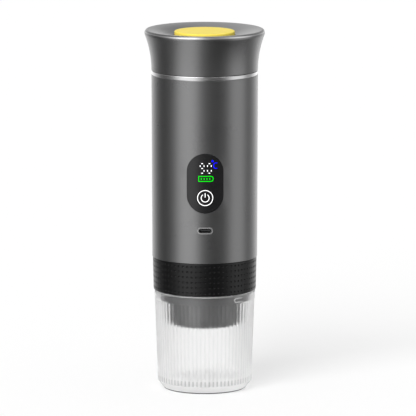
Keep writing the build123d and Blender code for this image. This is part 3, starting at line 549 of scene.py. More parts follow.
LINER_GREY = Finish(
    "moulded_grey_plastic",
    "liner_grey",
    colour=(0.22, 0.22, 0.225),
    roughness=0.44,
    skin=Skin(grain=0.22, gloss=0.08),
)
BOARD_GREEN = Finish(
    "green_solder_mask",
    "board_green",
    colour=(0.028, 0.15, 0.075),
    roughness=0.34,
    skin=Skin(pattern=Pattern.FLECKED, grain=0.5, relief=0.01, tone=0.28, gloss=0.08),
    coat=0.2,
)
DISPLAY_DARK = Finish(
    "dark_display_glass",
    "display_dark",
    colour=(0.018, 0.018, 0.02),
    roughness=0.12,
    skin=Skin(grain=0.6, relief=0.0005, tone=0.1, gloss=0.03),
    coat=0.3,
)
SWITCH_WHITE = Finish(
    "moulded_white_plastic",
    "switch_white",
    colour=(0.74, 0.73, 0.69),
    roughness=0.42,
    skin=Skin(grain=0.2, relief=0.004, tone=0.04),
)
CELL_WRAP = Finish(
    "blue_shrink_film",
    "cell_wrap",
    colour=(0.045, 0.19, 0.41),
    roughness=0.24,
    skin=Skin(pattern=Pattern.DRAWN, grain=1.2, relief=0.012, tone=0.1),
    coat=0.3,
)
HEATER_ALLOY = Finish(
    "machined_alloy",
    "heater_alloy",
    colour=(0.55, 0.56, 0.57),
    roughness=0.36,
    skin=Skin(pattern=Pattern.TURNED, grain=0.3, relief=0.008, tone=0.08, gloss=0.08),
    metallic=1.0,
)
MOTOR_STEEL = Finish(
    "zinc_plated_steel",
    "motor_steel",
    colour=(0.44, 0.44, 0.45),
    roughness=0.33,
    skin=Skin(pattern=Pattern.FLECKED, grain=0.6, relief=0.002, tone=0.08, gloss=0.08),
    metallic=1.0,
)
GEAR_BRASS = Finish(
    "cut_brass",
    "gear_brass",
    colour=(0.71, 0.53, 0.21),
    roughness=0.26,
    skin=Skin(pattern=Pattern.TURNED, grain=0.15, relief=0.003, gloss=0.07),
    metallic=1.0,
)
HOSE_SILICONE = Finish(
    "milky_hose_silicone",
    "hose_clear",
    colour=(0.8, 0.81, 0.78),
    roughness=0.38,
    skin=Skin(pattern=Pattern.DRAWN, grain=0.5, relief=0.004, tone=0.05),
    subsurface=0.2,
)
BEZEL_GREY = Finish(
    "satin_light_grey",
    "bezel_grey",
    colour=(0.4, 0.4, 0.4),
    roughness=0.34,
    skin=Skin(grain=0.1, relief=0.001, tone=0.05, gloss=0.05),
    metallic=0.6,
)
WHITE_LIGHT = Finish(
    "white_sign_light",
    "display_dark",
    colour=(0.9, 0.91, 0.93),
    roughness=0.4,
    skin=Skin(tone=0.02),
    specular=0.0,
    glow=0.75,
)
BLUE_LIGHT = Finish(
    "blue_sign_light",
    "display_dark",
    colour=(0.002, 0.002, 0.85),
    roughness=0.4,
    skin=Skin(tone=0.05),
    specular=0.0,
    glow=0.9,
)
GREEN_LIGHT = Finish(
    "green_sign_light",
    "display_dark",
    colour=(0.0, 0.55, 0.003),
    roughness=0.4,
    skin=Skin(tone=0.05),
    specular=0.0,
    glow=0.88,
)
WHITE_PRINT_PAINTED_GLOW = Finish(
    "white_sign_print_painted_glow",
    "button_black",
    colour=(0.9, 0.9, 0.9),
    roughness=0.4,
    skin=Skin(tone=0.02),
    specular=0.3,
    # glow: painted light, which makes the printed ring and power sign shine though they are no
    # lamp
    glow=0.55,
)


def whole(bm: BMesh) -> Geometry:
    """Lists all of a mesh, as its operators take it."""
    return bm.verts[:] + bm.edges[:] + bm.faces[:]


def weld(bm: BMesh, distance: float = 0.001) -> None:
    """Merges vertices that lie within a distance in millimetres."""
    bmesh.ops.remove_doubles(bm, verts=bm.verts[:], dist=distance * MM)


def face_out(bm: BMesh) -> None:
    """Turns the faces outwards."""
    bmesh.ops.recalc_face_normals(bm, faces=bm.faces[:])


def close_ends(bm: BMesh) -> None:
    """Fills the open ends and turns the faces outwards."""
    bmesh.ops.holes_fill(bm, edges=[edge for edge in bm.edges if edge.is_boundary], sides=0)
    face_out(bm)


def grow(bm: BMesh, edges: Sequence[BMEdge], place: Callable[[Vector], Vector]) -> list[BMEdge]:
    """Extrudes open edges once and moves the new vertices.

    Args:
        bm: Mesh to extend.
        edges: Open edges.
        place: Gives a new vertex its place from the old one.

    Returns:
        The new open edges.
    """
    made = bmesh.ops.extrude_edge_only(bm, edges=list(edges))["geom"]
    verts = {item for item in made if isinstance(item, BMVert)}
    for vert in verts:
        vert.co = place(vert.co.copy())
    edges = [item for item in made if isinstance(item, BMEdge)]
    return [edge for edge in edges if verts.issuperset(edge.verts)]


def at_radius(point: Vector, radius: float, height: float) -> Vector:
    """Moves a point to a radius and a height, in millimetres, at its own bearing."""
    flat = Vector((point.x, point.y, 0.0)).normalized() * (radius * MM)
    return Vector((flat.x, flat.y, height * MM))


def at_bearing(bearing: float, radius: float, height: float) -> Vector:
    """Gives a point from its bearing, counted from the front, and its radius and height."""
    return at_radius(Vector((math.sin(bearing), -math.cos(bearing), 0.0)), radius, height)


def grow_along(bm: BMesh, edges: Sequence[BMEdge], stations: Sequence[Pair]) -> Sequence[BMEdge]:
    """Extrudes a round opening from station to station.

    Args:
        bm: Mesh to extend.
        edges: Edges of the opening.
        stations: Radii and heights in millimetres.

    Returns:
        The edges of the opening at the last station.
    """
    for radius, height in stations:
        edges = grow(bm, edges, lambda point, r=radius, h=height: at_radius(point, r, h))
    return edges


def quarter(start: Pair, corner: Pair, end: Pair, steps: int) -> list[Pair]:
    """Stations of a rounded corner.

    Args:
        start: Radius and height where the round begins.
        corner: The corner that it rounds off.
        end: Radius and height where it ends.
        steps: Number of chords.

    Returns:
        The stations after the start.
    """
    stations = []
    for step in range(1, steps + 1):
        angle = math.pi / 2 * step / steps
        near = 1.0 - math.sin(angle)
        far = 1.0 - math.cos(angle)
        ways = zip(start, corner, end)
        stations.append(tuple(c + (s - c) * near + (e - c) * far for s, c, e in ways))
    return stations


def spin(
    bm: BMesh,
    geom: Geometry,
    angle: float,
    steps: int,
    rise: float = 0.0,
    copies: bool = False,
    merge: bool = False,
) -> None:
    """Turns geometry about the vertical axis.

    Args:
        bm: Mesh to extend.
        geom: What is turned.
        angle: The whole angle in radians.
        steps: Number of steps.
        rise: Lift in each step, in metres.
        copies: True to repeat the geometry, False to sweep it.
        merge: True to join the last step to the first.
    """
    bmesh.ops.spin(
        bm,
        geom=geom,
        cent=ORIGIN,
        axis=UP,
        dvec=(0.0, 0.0, rise),
        angle=angle,
        steps=steps,
        use_duplicate=copies,
        use_merge=merge,
    )


def spun(points: Sequence[Pair], steps: int) -> BMesh:
    """Turns a profile about the vertical axis.

    Args:
        points: Radii and heights in millimetres, from one end of the profile to the other.
        steps: Number of facets around.

    Returns:
        A mesh with its doubles merged and its faces turned outwards.
    """
    bm = bmesh.new()
    verts = [bm.verts.new((radius * MM, 0.0, height * MM)) for radius, height in points]
    edges = [bm.edges.new(pair) for pair in zip(verts, verts[1:])]
    spin(bm, verts + edges, 2.0 * math.pi, steps, merge=True)
    weld(bm)
    face_out(bm)
    return bm


def linked(name: str, data: bpy.types.ID) -> bpy.types.Object:
    """Makes an object and puts it into the scene.

    Args:
        name: Name of the object.
        data: Its mesh, light or camera.

    Returns:
        The new object.
    """
    made = bpy.data.objects.new(name, data)
    bpy.context.scene.collection.objects.link(made)
    return made


@dataclass
class SubAssembly:
    """What every sub-assembly shares: the body that carries it and the making of its pieces."""

    body: str

    def piece(
        self,
        name: str,
        bm: BMesh,
        finish: Finish,
        replaces: Sequence[str] = (),
        crease: float = 38.0,
    ) -> bpy.types.Object:
        """Turns a mesh into a piece that rides on the body.

        Args:
            name: Name of the piece.
            bm: Its mesh, which is freed.
            finish: Its finish.
            replaces: CAD nodes that it stands for.
            crease: Angle in degrees above which an edge stays sharp.

        Returns:
            The new object.
        """
        mesh = bpy.data.meshes.new(name)
        bm.to_mesh(mesh)
        bm.free()
        mesh.shade_smooth()
        mesh.set_sharp_from_angle(angle=math.radians(crease))
        mesh.materials.append(finish.material())
        made = linked(name, mesh)
        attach(made, self.body)
        if replaces:
            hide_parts(*replaces)
        LOG.info("piece %s on %s: %d faces", name, self.body, len(mesh.polygons))
        return made

    def dress(self, finish: Finish, *nodes: str) -> None:
        """Gives CAD nodes a finish.

        Args:
            finish: The finish.
            nodes: Names of the nodes.
        """
        for node in nodes:
            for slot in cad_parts[node].material_slots:
                slot.material = finish.material()
            LOG.info("node %s in %s", node, finish.name)


@dataclass
class ClearCup(SubAssembly):
    """The clear cup: reeds on the outside of a turned, tapered wall."""

    body: str = "cup"
    height: float = 66.5
    rim_radius: float = 33.4
    mouth_radius: float = 31.0
    rim_round: float = 1.0
    rim_band: float = 6.3
    band_steps: tuple[float, ...] = (0.7, 0.12, 0.0)
    band_gap: float = 0.05
    base_radius: float = 31.3
    wall_stations: tuple[float, ...] = (8.0, 14.0, 26.0, 38.0, 50.0)
    inner_stations: tuple[float, ...] = (50.0, 30.0)
    shoulder_height: float = 5.7
    shoulder_ease: float = 0.38
    slope_shares: tuple[float, ...] = (0.5, 0.78, 0.86)
    foot_radius: float = 27.0
    foot_ease: float = 0.6
    recess_radius: float = 22.0
    recess_depth: float = 0.6
    recess_edge: tuple[Pair, ...] = ((0.0, 0.2), (0.3, 0.0))
    recess_slope: float = 0.4
    smooth_foot: float = 2.0
    floor_height: float = 8.8
    floor_radius: float = 28.6
    floor_fillet: float = 4.0
    floor_ring: float = 12.0
    reed_count: int = REEDS
    reed_facets: int = 8
    reed_height: float = 0.42
    reed_recess: float = 0.15
    round_steps: int = 4
    fillet_steps: int = 7
    bead_facets: int = 2
    bead: tuple[Pair, ...] = (
        (-0.75, -0.12),
        (-0.4, -0.12),
        (-0.1, -0.35),
        (0.05, -0.65),
        (0.05, -1.0),
        (-0.15, -1.25),
        (-0.6, -1.0),
    )

    def wall_radius(self, height: float) -> float:
        """Outer radius of the plain wall at a height."""
        share = (height - self.shoulder_height) / (self.height - self.shoulder_height)
        return self.base_radius + share * (self.rim_radius - self.base_radius)

    def inner_radius(self, height: float) -> float:
        """Inner radius of the wall at a height."""
        share = (height - self.floor_height) / (self.height - self.floor_height)
        return self.floor_radius + share * (self.mouth_radius - self.floor_radius)

    def profile(self) -> list[Pair]:
        """Lists the stations of the cup's section.

        Returns:
            Radii and heights, from the foot's middle over the rim to the floor's middle.
        """
        band = self.height - self.rim_band
        top = self.height
        low = self.floor_height + self.floor_fillet
        edge = top - self.rim_round
        foot = Vector((self.foot_radius, 0.0))
        shoulder = Vector((self.base_radius, self.shoulder_height))
        slope = (shoulder - foot).normalized()
        wall = (Vector((self.rim_radius, top)) - shoulder).normalized()
        points = [
            (0.0, self.recess_depth),
            (self.recess_radius - self.recess_slope, self.recess_depth),
            *((self.recess_radius + out, up) for out, up in self.recess_edge),
            (self.foot_radius - self.foot_ease, 0.0),
        ]
        end = tuple(foot + slope * self.foot_ease)
        points += quarter(points[-1], tuple(foot), end, self.round_steps)
        points += [tuple(foot.lerp(shoulder, share)) for share in self.slope_shares]
        points += [tuple(shoulder - slope * self.shoulder_ease)]
        end = tuple(shoulder + wall * self.shoulder_ease)
        points += quarter(points[-1], tuple(shoulder), end, self.round_steps)
        heights = (*self.wall_stations, *(band - step for step in self.band_steps), edge)
        points += [(self.wall_radius(z), z) for z in heights]
        end = (self.rim_radius - self.rim_round, top)
        points += quarter(points[-1], (self.rim_radius, top), end, self.round_steps)
        points += [(self.mouth_radius + self.rim_round, top)]
        end = (self.inner_radius(edge), edge)
        points += quarter(points[-1], (self.mouth_radius, top), end, self.round_steps)
        points += [(self.inner_radius(z), z) for z in (*self.inner_stations, low)]
        corner = (self.floor_radius, self.floor_height)
        end = (self.floor_radius - self.floor_fillet, self.floor_height)
        points += quarter(points[-1], corner, end, self.fillet_steps)
        points += [(self.floor_ring, self.floor_height), (0.0, self.floor_height)]
        return points

    def bead_profile(self) -> list[Pair]:
        """Lists the stations of the pale bead that ends the rim, as a closed ring; its colour
        paints the rim's highlight line.
        """
        corners = [(self.rim_radius + out, self.height + up) for out, up in self.bead]
        return corners + corners[:1]

    def reed_radius(self, bearing: float, height: float) -> float:
        """Outer radius of the reeds.

        Args:
            bearing: Angle about the axis, in radians.
            height: Height above the table, in millimetres.

        Returns:
            The radius in millimetres.
        """
        share = (bearing / (2.0 * math.pi) * self.reed_count) % 1.0
        across = 2.0 * share - 1.0
        return self.wall_radius(height) - self.reed_recess - self.reed_height * across * across

    def build(self) -> None:
        """Spins the cup, then presses the reeds into its outer wall."""
        bm = spun(self.profile(), self.reed_count * self.reed_facets)
        top = self.height - self.rim_band - self.band_gap
        for vert in bm.verts:
            radius = math.hypot(vert.co.x, vert.co.y) / MM
            height = vert.co.z / MM
            middle = (self.inner_radius(height) + self.wall_radius(height)) / 2
            if radius < self.recess_radius + self.smooth_foot or height > top:
                continue
            if height > self.floor_height and radius < middle:
                continue
            reed = self.reed_radius(math.atan2(vert.co.y, vert.co.x), height)
            vert.co = at_radius(vert.co, min(radius, reed), height)
        self.piece("cup_reeded", bm, CLEAR_CUP, ("cup",), crease=32.0)
        # the bead's pale colour is a painted highlight along the rim
        bead = spun(self.bead_profile(), self.reed_count * self.bead_facets)
        self.piece("cup_rim_bead", bead, RIM_BEAD_HIGHLIGHT)


@dataclass
class GripRing(SubAssembly):
    """The black grip ring with rows of small round pits."""

    body: str = "brew_head"
    bottom: float = 66.5
    top: float = 88.5
    bottom_radius: float = 33.95
    top_radius: float = 34.45
    bore_radius: float = 31.7
    bottom_round: float = 0.8
    bottom_steps: int = 5
    top_round: float = 0.3
    top_steps: int = 3
    columns: int = 72
    rows: int = 6
    row_pitch: float = 3.52
    first_row: float = 2.35
    pit_radius: float = 0.72
    pit_depth: float = 0.6
    pit_floor: float = 0.36
    pit_wall: Pair = (0.8, 0.6)
    pit_sides: int = 16
    seam: float = 0.06
    weld_distance: float = 0.004

    def radius(self, height: float) -> float:
        """Outer radius of the tapered ring at a height."""
        share = (height - self.bottom) / (self.top - self.bottom)
        return self.bottom_radius + share * (self.top_radius - self.bottom_radius)

    def cell(self, bm: BMesh, height: float) -> None:
        """Adds one pit in its patch of the surface, still flat.

        Args:
            bm: Mesh of the column; X runs across, Y up and Z outwards.
            height: Height of the pit's middle.
        """
        half_width = math.pi * self.radius(height) / self.columns
        half_height = self.row_pitch / 2
        middle = Vector((0.0, height * MM, -self.pit_depth * MM))
        made = bmesh.ops.create_circle(
            bm,
            cap_ends=True,
            radius=self.pit_floor * self.pit_radius * MM,
            segments=self.pit_sides,
            matrix=Matrix.Translation(middle),
        )
        ring = list({edge for vert in made["verts"] for edge in vert.link_edges})

        def out_to(share: float, depth: float) -> Callable[[Vector], Vector]:
            """Gives the place of a ring of the pit's wall.

            Args:
                share: Radius of the ring, as a share of the pit's.
                depth: Depth of the ring, in millimetres.

            Returns:
                A function that moves a point to the ring.
            """
            reach = share * self.pit_radius * MM

            def place(point: Vector) -> Vector:
                """Moves a point out from the pit's middle."""
                way = Vector((point.x, point.y - middle.y, 0.0)).normalized() * reach
                return Vector((way.x, middle.y + way.y, -depth * MM))

            return place

        def to_patch(point: Vector) -> Vector:
            """Moves a point out to the patch's edge.

            Args:
                point: A point of the pit's rim.

            Returns:
                Its place on the edge.
            """
            way = Vector((point.x, point.y - middle.y, 0.0))
            way /= max(abs(way.x), abs(way.y))
            return Vector((way.x * half_width * MM, middle.y + way.y * half_height * MM, 0.0))

        share, depth = self.pit_wall
        ring = grow(bm, ring, out_to(share, depth * self.pit_depth))
        ring = grow(bm, ring, out_to(1.0, 0.0))
        grow(bm, ring, to_patch)

    def build(self) -> None:
        """Builds one column of pits, spins it round and closes the ring behind it."""
        bm = bmesh.new()
        low = self.bottom + self.bottom_round
        high = self.top - self.top_round
        column = math.pi / self.columns
        for row in range(self.rows):
            self.cell(bm, self.bottom + self.first_row + row * self.row_pitch)
        for vert in bm.verts:
            height = min(max(vert.co.y / MM, low), high)
            bearing = vert.co.x / (self.radius(vert.co.y / MM) * MM)
            if abs(abs(vert.co.x) - column * self.radius(height) * MM) < self.seam * MM:
                bearing = math.copysign(column, vert.co.x)
            vert.co = at_bearing(bearing, self.radius(height) + vert.co.z / MM, height)
        weld(bm, self.weld_distance)
        others = self.columns - 1
        spin(bm, whole(bm), 2.0 * column * others, others, copies=True)
        weld(bm, self.weld_distance)
        middle = (self.bottom + self.top) / 2 * MM
        rim = [edge for edge in bm.edges if edge.is_boundary]
        lower = [edge for edge in rim if edge.verts[0].co.z < middle]
        upper = [edge for edge in rim if edge.verts[0].co.z > middle]
        corner = (self.bottom_radius, self.bottom)
        end = (self.bottom_radius - self.bottom_round, self.bottom)
        stations = quarter((self.radius(low), low), corner, end, self.bottom_steps)
        stations += [(self.bore_radius, self.bottom), (self.bore_radius, self.top)]
        lower = grow_along(bm, lower, stations)
        corner = (self.top_radius, self.top)
        end = (self.top_radius - self.top_round, self.top)
        stations = quarter((self.radius(high), high), corner, end, self.top_steps)
        upper = grow_along(bm, upper, stations)
        bmesh.ops.bridge_loops(bm, edges=lower + upper)
        face_out(bm)
        self.piece("grip_dimpled", bm, GRIP_RUBBER, ("grip_ring",), crease=30.0)


@dataclass
class ScrewThread(SubAssembly):
    """Raised quick-thread ridges on a turned neck."""

    body: str = "main"
    name: str = "neck_thread"
    finish: Finish = LINER_GREY
    radius: float = 29.6
    low: float = 214.2
    high: float = 219.0
    lead: float = 16.1
    starts: int = 4
    foot: float = 1.5
    crest: float = 0.7
    height: float = 0.22
    sink: float = 0.15
    steps: int = 36

    def build(self) -> None:
        """Spins each ridge up along its helix and runs its ends out into the neck."""
        bm = bmesh.new()
        rise = self.high - self.low - self.foot
        inner, outer = self.radius - self.sink, self.radius + self.height
        outline = [
            (inner, 0.0),
            (self.radius, 0.0),
            (outer, (self.foot - self.crest) / 2),
            (outer, (self.foot + self.crest) / 2),
            (self.radius, self.foot),
            (inner, self.foot),
        ]
        for start in range(self.starts):
            verts = [bm.verts.new((r * MM, 0.0, (self.low + z) * MM)) for r, z in outline]
            edges = [bm.edges.new(pair) for pair in zip(verts, verts[1:] + verts[:1])]
            way = Matrix.Rotation(2.0 * math.pi * start / self.starts, 3, "Z")
            bmesh.ops.rotate(bm, verts=verts, cent=ORIGIN, matrix=way)
            angle = 2.0 * math.pi * rise / self.lead
            spin(bm, verts + edges, angle, self.steps, rise * MM / self.steps)
        for vert in {vert for edge in bm.edges if edge.is_boundary for vert in edge.verts}:
            radius = min(math.hypot(vert.co.x, vert.co.y) / MM, self.radius)
            vert.co = at_radius(vert.co, radius, vert.co.z / MM)
        close_ends(bm)
        self.piece(self.name, bm, self.finish)


@dataclass
class Panel(SubAssembly):
    """What is lit or printed on the curved lens: drawn flat, then wrapped round the housing."""

    body: str = "main"
    low_radius: float = 34.68
    high_radius: float = 35.08
    low_height: float = 88.75
    high_height: float = 210.2
    proud: float = 0.035
    sink: float = 0.05
    ring_sides: int = 72
    ease_steps: int = 3
    strips: int = 12
    strip_width: float = 0.8
    strip_offset: float = 0.01

    def lens_radius(self, height: float) -> float:
        """Radius of the lens's front at a height."""
        share = (height - self.low_height) / (self.high_height - self.low_height)
        return self.low_radius + share * (self.high_radius - self.low_radius)

    @staticmethod
    def plate(bm: BMesh, x: float, z: float, width: float, height: float) -> list[BMVert]:
        """Adds a flat rectangle.

        Args:
            bm: Flat mesh of a sign.
            x: Middle across.
            z: Height of the middle.
            width: Width.
            height: Height.

        Returns:
            Its corners.
        """
        size = Matrix.Diagonal((width * MM, height * MM, 1.0, 1.0))
        matrix = Matrix.Translation((x * MM, z * MM, 0.0)) @ size
        made = bmesh.ops.create_grid(bm, x_segments=1, y_segments=1, size=0.5, matrix=matrix)
        return made["verts"]

    @staticmethod
    def ease(bm: BMesh, corners: Sequence[BMVert], length: float, segments: int) -> None:
        """Eases flat corners.

        Args:
            bm: Flat mesh of a sign.
            corners: The corners.
            length: Length cut off each side.
            segments: Number of chords.
        """
        bmesh.ops.bevel(
            bm,
            geom=corners,
            offset=length * MM,
            offset_type="OFFSET",
            affect="VERTICES",
            segments=segments,
            profile=0.5,
            material=-1,
        )

    @staticmethod
    def hollow(bm: BMesh, face: BMFace, stroke: float) -> None:
        """Keeps only a line along a flat face's edge, with its width in millimetres."""
        bmesh.ops.inset_region(
            bm, faces=[face], thickness=stroke * MM, use_even_offset=True, use_boundary=True
        )
        bmesh.ops.delete(bm, geom=[face], context="FACES")

    def bar(self, bm: BMesh, place: Pair, size: Pair, ease: float = 0.25) -> None:
        """Adds a flat bar with eased corners, from its middle, its size and their length."""
        self.ease(bm, self.plate(bm, *place, *size), ease, self.ease_steps)

    @staticmethod
    def disc(bm: BMesh, place: Pair, radius: float, sides: int) -> list[BMVert]:
        """Adds a flat disc.

        Args:
            bm: Flat mesh of a sign.
            place: Middle across and height of the middle.
            radius: Radius.
            sides: Number of chords.

        Returns:
            The vertices round it.
        """
        matrix = Matrix.Translation((place[0] * MM, place[1] * MM, 0.0))
        made = bmesh.ops.create_circle(
            bm, cap_ends=True, radius=radius * MM, segments=sides, matrix=matrix
        )
        return made["verts"]

    def ring(self, bm: BMesh, z: float, radius: float, stroke: float, gap: float = 0.0) -> None:
        """Adds a flat ring.

        Args:
            bm: Flat mesh of a sign.
            z: Height of its middle.
            radius: Outer radius.
            stroke: Width of the line.
            gap: Half angle in degrees of an opening at the top.
        """
        verts = self.disc(bm, (0.0, z), radius, self.ring_sides)
        self.hollow(bm, verts[0].link_faces[0], stroke)
        cut = []
        for face in {face for vert in verts for face in vert.link_faces}:
            middle = face.calc_center_median()
            if abs(math.atan2(middle.x, middle.y - z * MM)) < math.radians(gap):
                cut.append(face)
        bmesh.ops.delete(bm, geom=cut, context="FACES")

    def wrap(self, bm: BMesh) -> None:
        """Gives a flat sign its thickness and bends it round the lens.

        The faces are turned to the front before they get their thickness, so the shell faces out.

        Args:
            bm: Flat mesh: X across, Y up, both in metres.
        """
        face_out(bm)
        for face in bm.faces:
            if face.normal.z < 0.0:
                face.normal_flip()
        bmesh.ops.solidify(bm, geom=bm.faces[:], thickness=(self.proud + self.sink) * MM)
        lowest = min(vert.co.z for vert in bm.verts)
        for vert in bm.verts:
            vert.co.z -= lowest + self.sink * MM
        for step in range(-self.strips, self.strips + 1):
            self.slit(bm, step * self.strip_width + self.strip_offset)
        for vert in bm.verts:
            height = vert.co.y / MM
            radius = self.lens_radius(height)
            vert.co = at_bearing(vert.co.x / (radius * MM), radius + vert.co.z / MM, height)

    @staticmethod
    def slit(bm: BMesh, x: float) -> None:
        """Cuts the faces of a flat sign along an upright line, so that they can bend there."""
        bmesh.ops.bisect_plane(
            bm, geom=whole(bm), plane_co=(x * MM, 0.0, 0.0), plane_no=(1.0, 0.0, 0.0)
        )


class Stroke(Enum):
    """The seven strokes of a lit figure, as a share of its half width and its half height."""

    TOP = (0.0, 1.0)
    UPPER_LEFT = (-1.0, 0.5)
    UPPER_RIGHT = (1.0, 0.5)
    MIDDLE = (0.0, 0.0)
    LOWER_LEFT = (-1.0, -0.5)
    LOWER_RIGHT = (1.0, -0.5)
    BOTTOM = (0.0, -1.0)


@dataclass(frozen=True)
class Outline:
    """A rectangular outline with two cut corners, in millimetres.

    Attributes:
        x: Middle across.
        z: Height of the middle.
        width: Width.
        height: Height.
        stroke: Width of the line.
        cut: Length of the cut corners.
        side: Side of the cut corners: 1 for the right, -1 for the left.
    """

    x: float
    z: float
    width: float
    height: float
    stroke: float
    cut: float
    side: int


@dataclass
class DisplayPanel(Panel):
    """The lens with the temperature, its unit and the battery sign."""

    figure_middle: float = 152.45
    figure_half_width: float = 1.25
    figure_half_height: float = 3.15
    first_figure: float = -2.0
    second_figure: float = 2.77
    stroke_length: float = 1.2
    stroke_width: float = 0.53
    stroke_ease: float = 0.3
    dot: Pair = (4.85, 157.2)
    dot_radius: float = 0.68
    dot_sides: int = 24
    cut_steps: int = 2
    unit: Outline = Outline(
        x=6.85, z=154.2, width=2.75, height=3.95, stroke=0.43, cut=1.1, side=-1
    )
    battery: Outline = Outline(
        x=0.5, z=145.5, width=10.0, height=3.8, stroke=0.46, cut=1.5, side=1
    )
    battery_bars: tuple[float, ...] = (-2.5, -0.65, 1.15, 3.0)
    battery_bar_size: Pair = (0.62, 1.25)

    def figure(self, bm: BMesh, x: float, unlit: Stroke) -> None:
        """Adds one lit figure.

        Args:
            bm: Flat mesh of the figures.
            x: Middle of the figure.
            unlit: The one stroke that isn't lit.
        """
        for stroke in Stroke:
            if stroke is unlit:
                continue
            across, up = stroke.value
            size = (self.stroke_length, self.stroke_width)
            if abs(across) == 1.0:
                size = size[::-1]
            z = self.figure_middle + up * self.figure_half_height
            self.bar(bm, (x + across * self.figure_half_width, z), size, self.stroke_ease)

    def outline(self, bm: BMesh, sign: Outline) -> None:
        """Adds an outline.

        Args:
            bm: Flat mesh of a sign, still empty.
            sign: The outline.
        """
        corners = self.plate(bm, sign.x, sign.z, sign.width, sign.height)
        corners = [vert for vert in corners if (vert.co.x - sign.x * MM) * sign.side > 0.0]
        self.ease(bm, corners, sign.cut, self.cut_steps)
        self.hollow(bm, next(iter(bm.faces)), sign.stroke)

    def open_right(self, bm: BMesh, sign: Outline) -> None:
        """Takes the right side off an outline.

        Args:
            bm: Flat mesh of the sign.
            sign: The outline.
        """
        edge = sign.x + sign.width / 2 - sign.stroke
        self.slit(bm, edge)
        side = []
        for face in bm.faces:
            middle = face.calc_center_median() / MM
            if middle.x > edge and abs(middle.y - sign.z) < sign.height / 2 - sign.stroke:
                side.append(face)
        bmesh.ops.delete(bm, geom=side, context="FACES")

    def build(self) -> None:
        """Builds the figures, the unit and the battery sign."""
        figures = bmesh.new()
        self.figure(figures, self.first_figure, Stroke.LOWER_LEFT)
        self.figure(figures, self.second_figure, Stroke.MIDDLE)
        unit = bmesh.new()
        self.outline(unit, self.unit)
        self.open_right(unit, self.unit)
        self.disc(unit, self.dot, self.dot_radius, self.dot_sides)
        battery = bmesh.new()
        self.outline(battery, self.battery)
        for x in self.battery_bars:
            self.bar(battery, (x, self.battery.z), self.battery_bar_size)
        signs = {
            "sign_temperature": (figures, WHITE_LIGHT),
            "sign_unit": (unit, BLUE_LIGHT),
            "sign_battery": (battery, GREEN_LIGHT),
        }
        for name, (bm, finish) in signs.items():
            self.wrap(bm)
            self.piece(name, bm, finish)

    def dress_nodes(self) -> None:
        """Gives the lens and what is behind it their finishes."""
        self.dress(SMOKED_LENS, "display_window")
        self.dress(DISPLAY_DARK, "display_module")
        self.dress(BOARD_GREEN, "control_board")
        self.dress(SWITCH_WHITE, "power_switch")


@dataclass
class PowerButton(Panel):
    """The round button in the lens with its printed ring and power sign."""

    body: str = "power_button"
    middle: float = 132.75
    ring_radius: float = 5.25
    ring_stroke: float = 0.46
    sign_radius: float = 2.85
    sign_stroke: float = 0.47
    sign_gap: float = 33.0
    bar_width: float = 0.52
    bar_bottom: float = 0.3
    bar_top: float = 3.3
    bar_ease: float = 0.3

    def build(self) -> None:
        """Builds the printed signs."""
        bm = bmesh.new()
        self.ring(bm, self.middle, self.ring_radius, self.ring_stroke)
        self.ring(bm, self.middle, self.sign_radius, self.sign_stroke, self.sign_gap)
        length = self.bar_top - self.bar_bottom
        place = (0.0, self.middle + self.bar_bottom + length / 2)
        self.bar(bm, place, (self.bar_width, length), self.bar_ease)
        self.wrap(bm)
        self.piece("sign_power", bm, WHITE_PRINT_PAINTED_GLOW)

    def dress_nodes(self) -> None:
        """Gives the button its finish."""
        self.dress(BUTTON_GLOSS, "power_button")


@dataclass
class Body(SubAssembly):
    """The housing, its trim and port, and the works inside it."""

    body: str = "main"

    def dress_nodes(self) -> None:
        """Gives the body's nodes their finishes."""
        self.dress(SATIN_BODY, "housing")
        self.dress(BRIGHT_TRIM, "trim_ring")
        self.dress(BEZEL_GREY, "usb_bezel")
        self.dress(
            STAINLESS, "usb_shell", "screen_screw", "pump_screws", "deck_screws", "idler_pin"
        )
        self.dress(
            INNER_BLACK, "usb_tongue", "base_plate", "battery_cradle", "upper_deck", "motor_cap"
        )
        self.dress(DRAWN_STAINLESS, "water_tank", "shower_screen", "frame_posts")
        self.dress(SEAL_SILICONE, "tank_gasket")
        self.dress(LINER_GREY, "tank_neck", "pump_body", "pump_cover")
        self.dress(CELL_WRAP, "battery_cells")
        self.dress(HEATER_ALLOY, "heater_plate")
        self.dress(GEAR_BRASS, "thermistor")
        self.dress(MOTOR_STEEL, "motor_can")
        self.dress(HOSE_SILICONE, "inlet_hose", "outlet_hose")


@dataclass
class BrewHead(SubAssembly):
    """The brew head with its basket and spout."""

    body: str = "brew_head"

    def dress_nodes(self) -> None:
        """Gives the head's nodes their finishes."""
        self.dress(HEAD_PLASTIC, "brew_head")
        self.dress(DRAWN_STAINLESS, "filter_basket")
        self.dress(STAINLESS, "outlet_spout")
        self.dress(SEAL_SILICONE, "brew_gasket")


@dataclass
class Pump(SubAssembly):
    """The pump's turning pieces."""

    body: str = "pump_drive"

    def dress_nodes(self) -> None:
        """Gives the gears and the shaft their finishes."""
        self.dress(GEAR_BRASS, "drive_gear", "idler_gear")
        self.dress(STAINLESS, "drive_shaft")


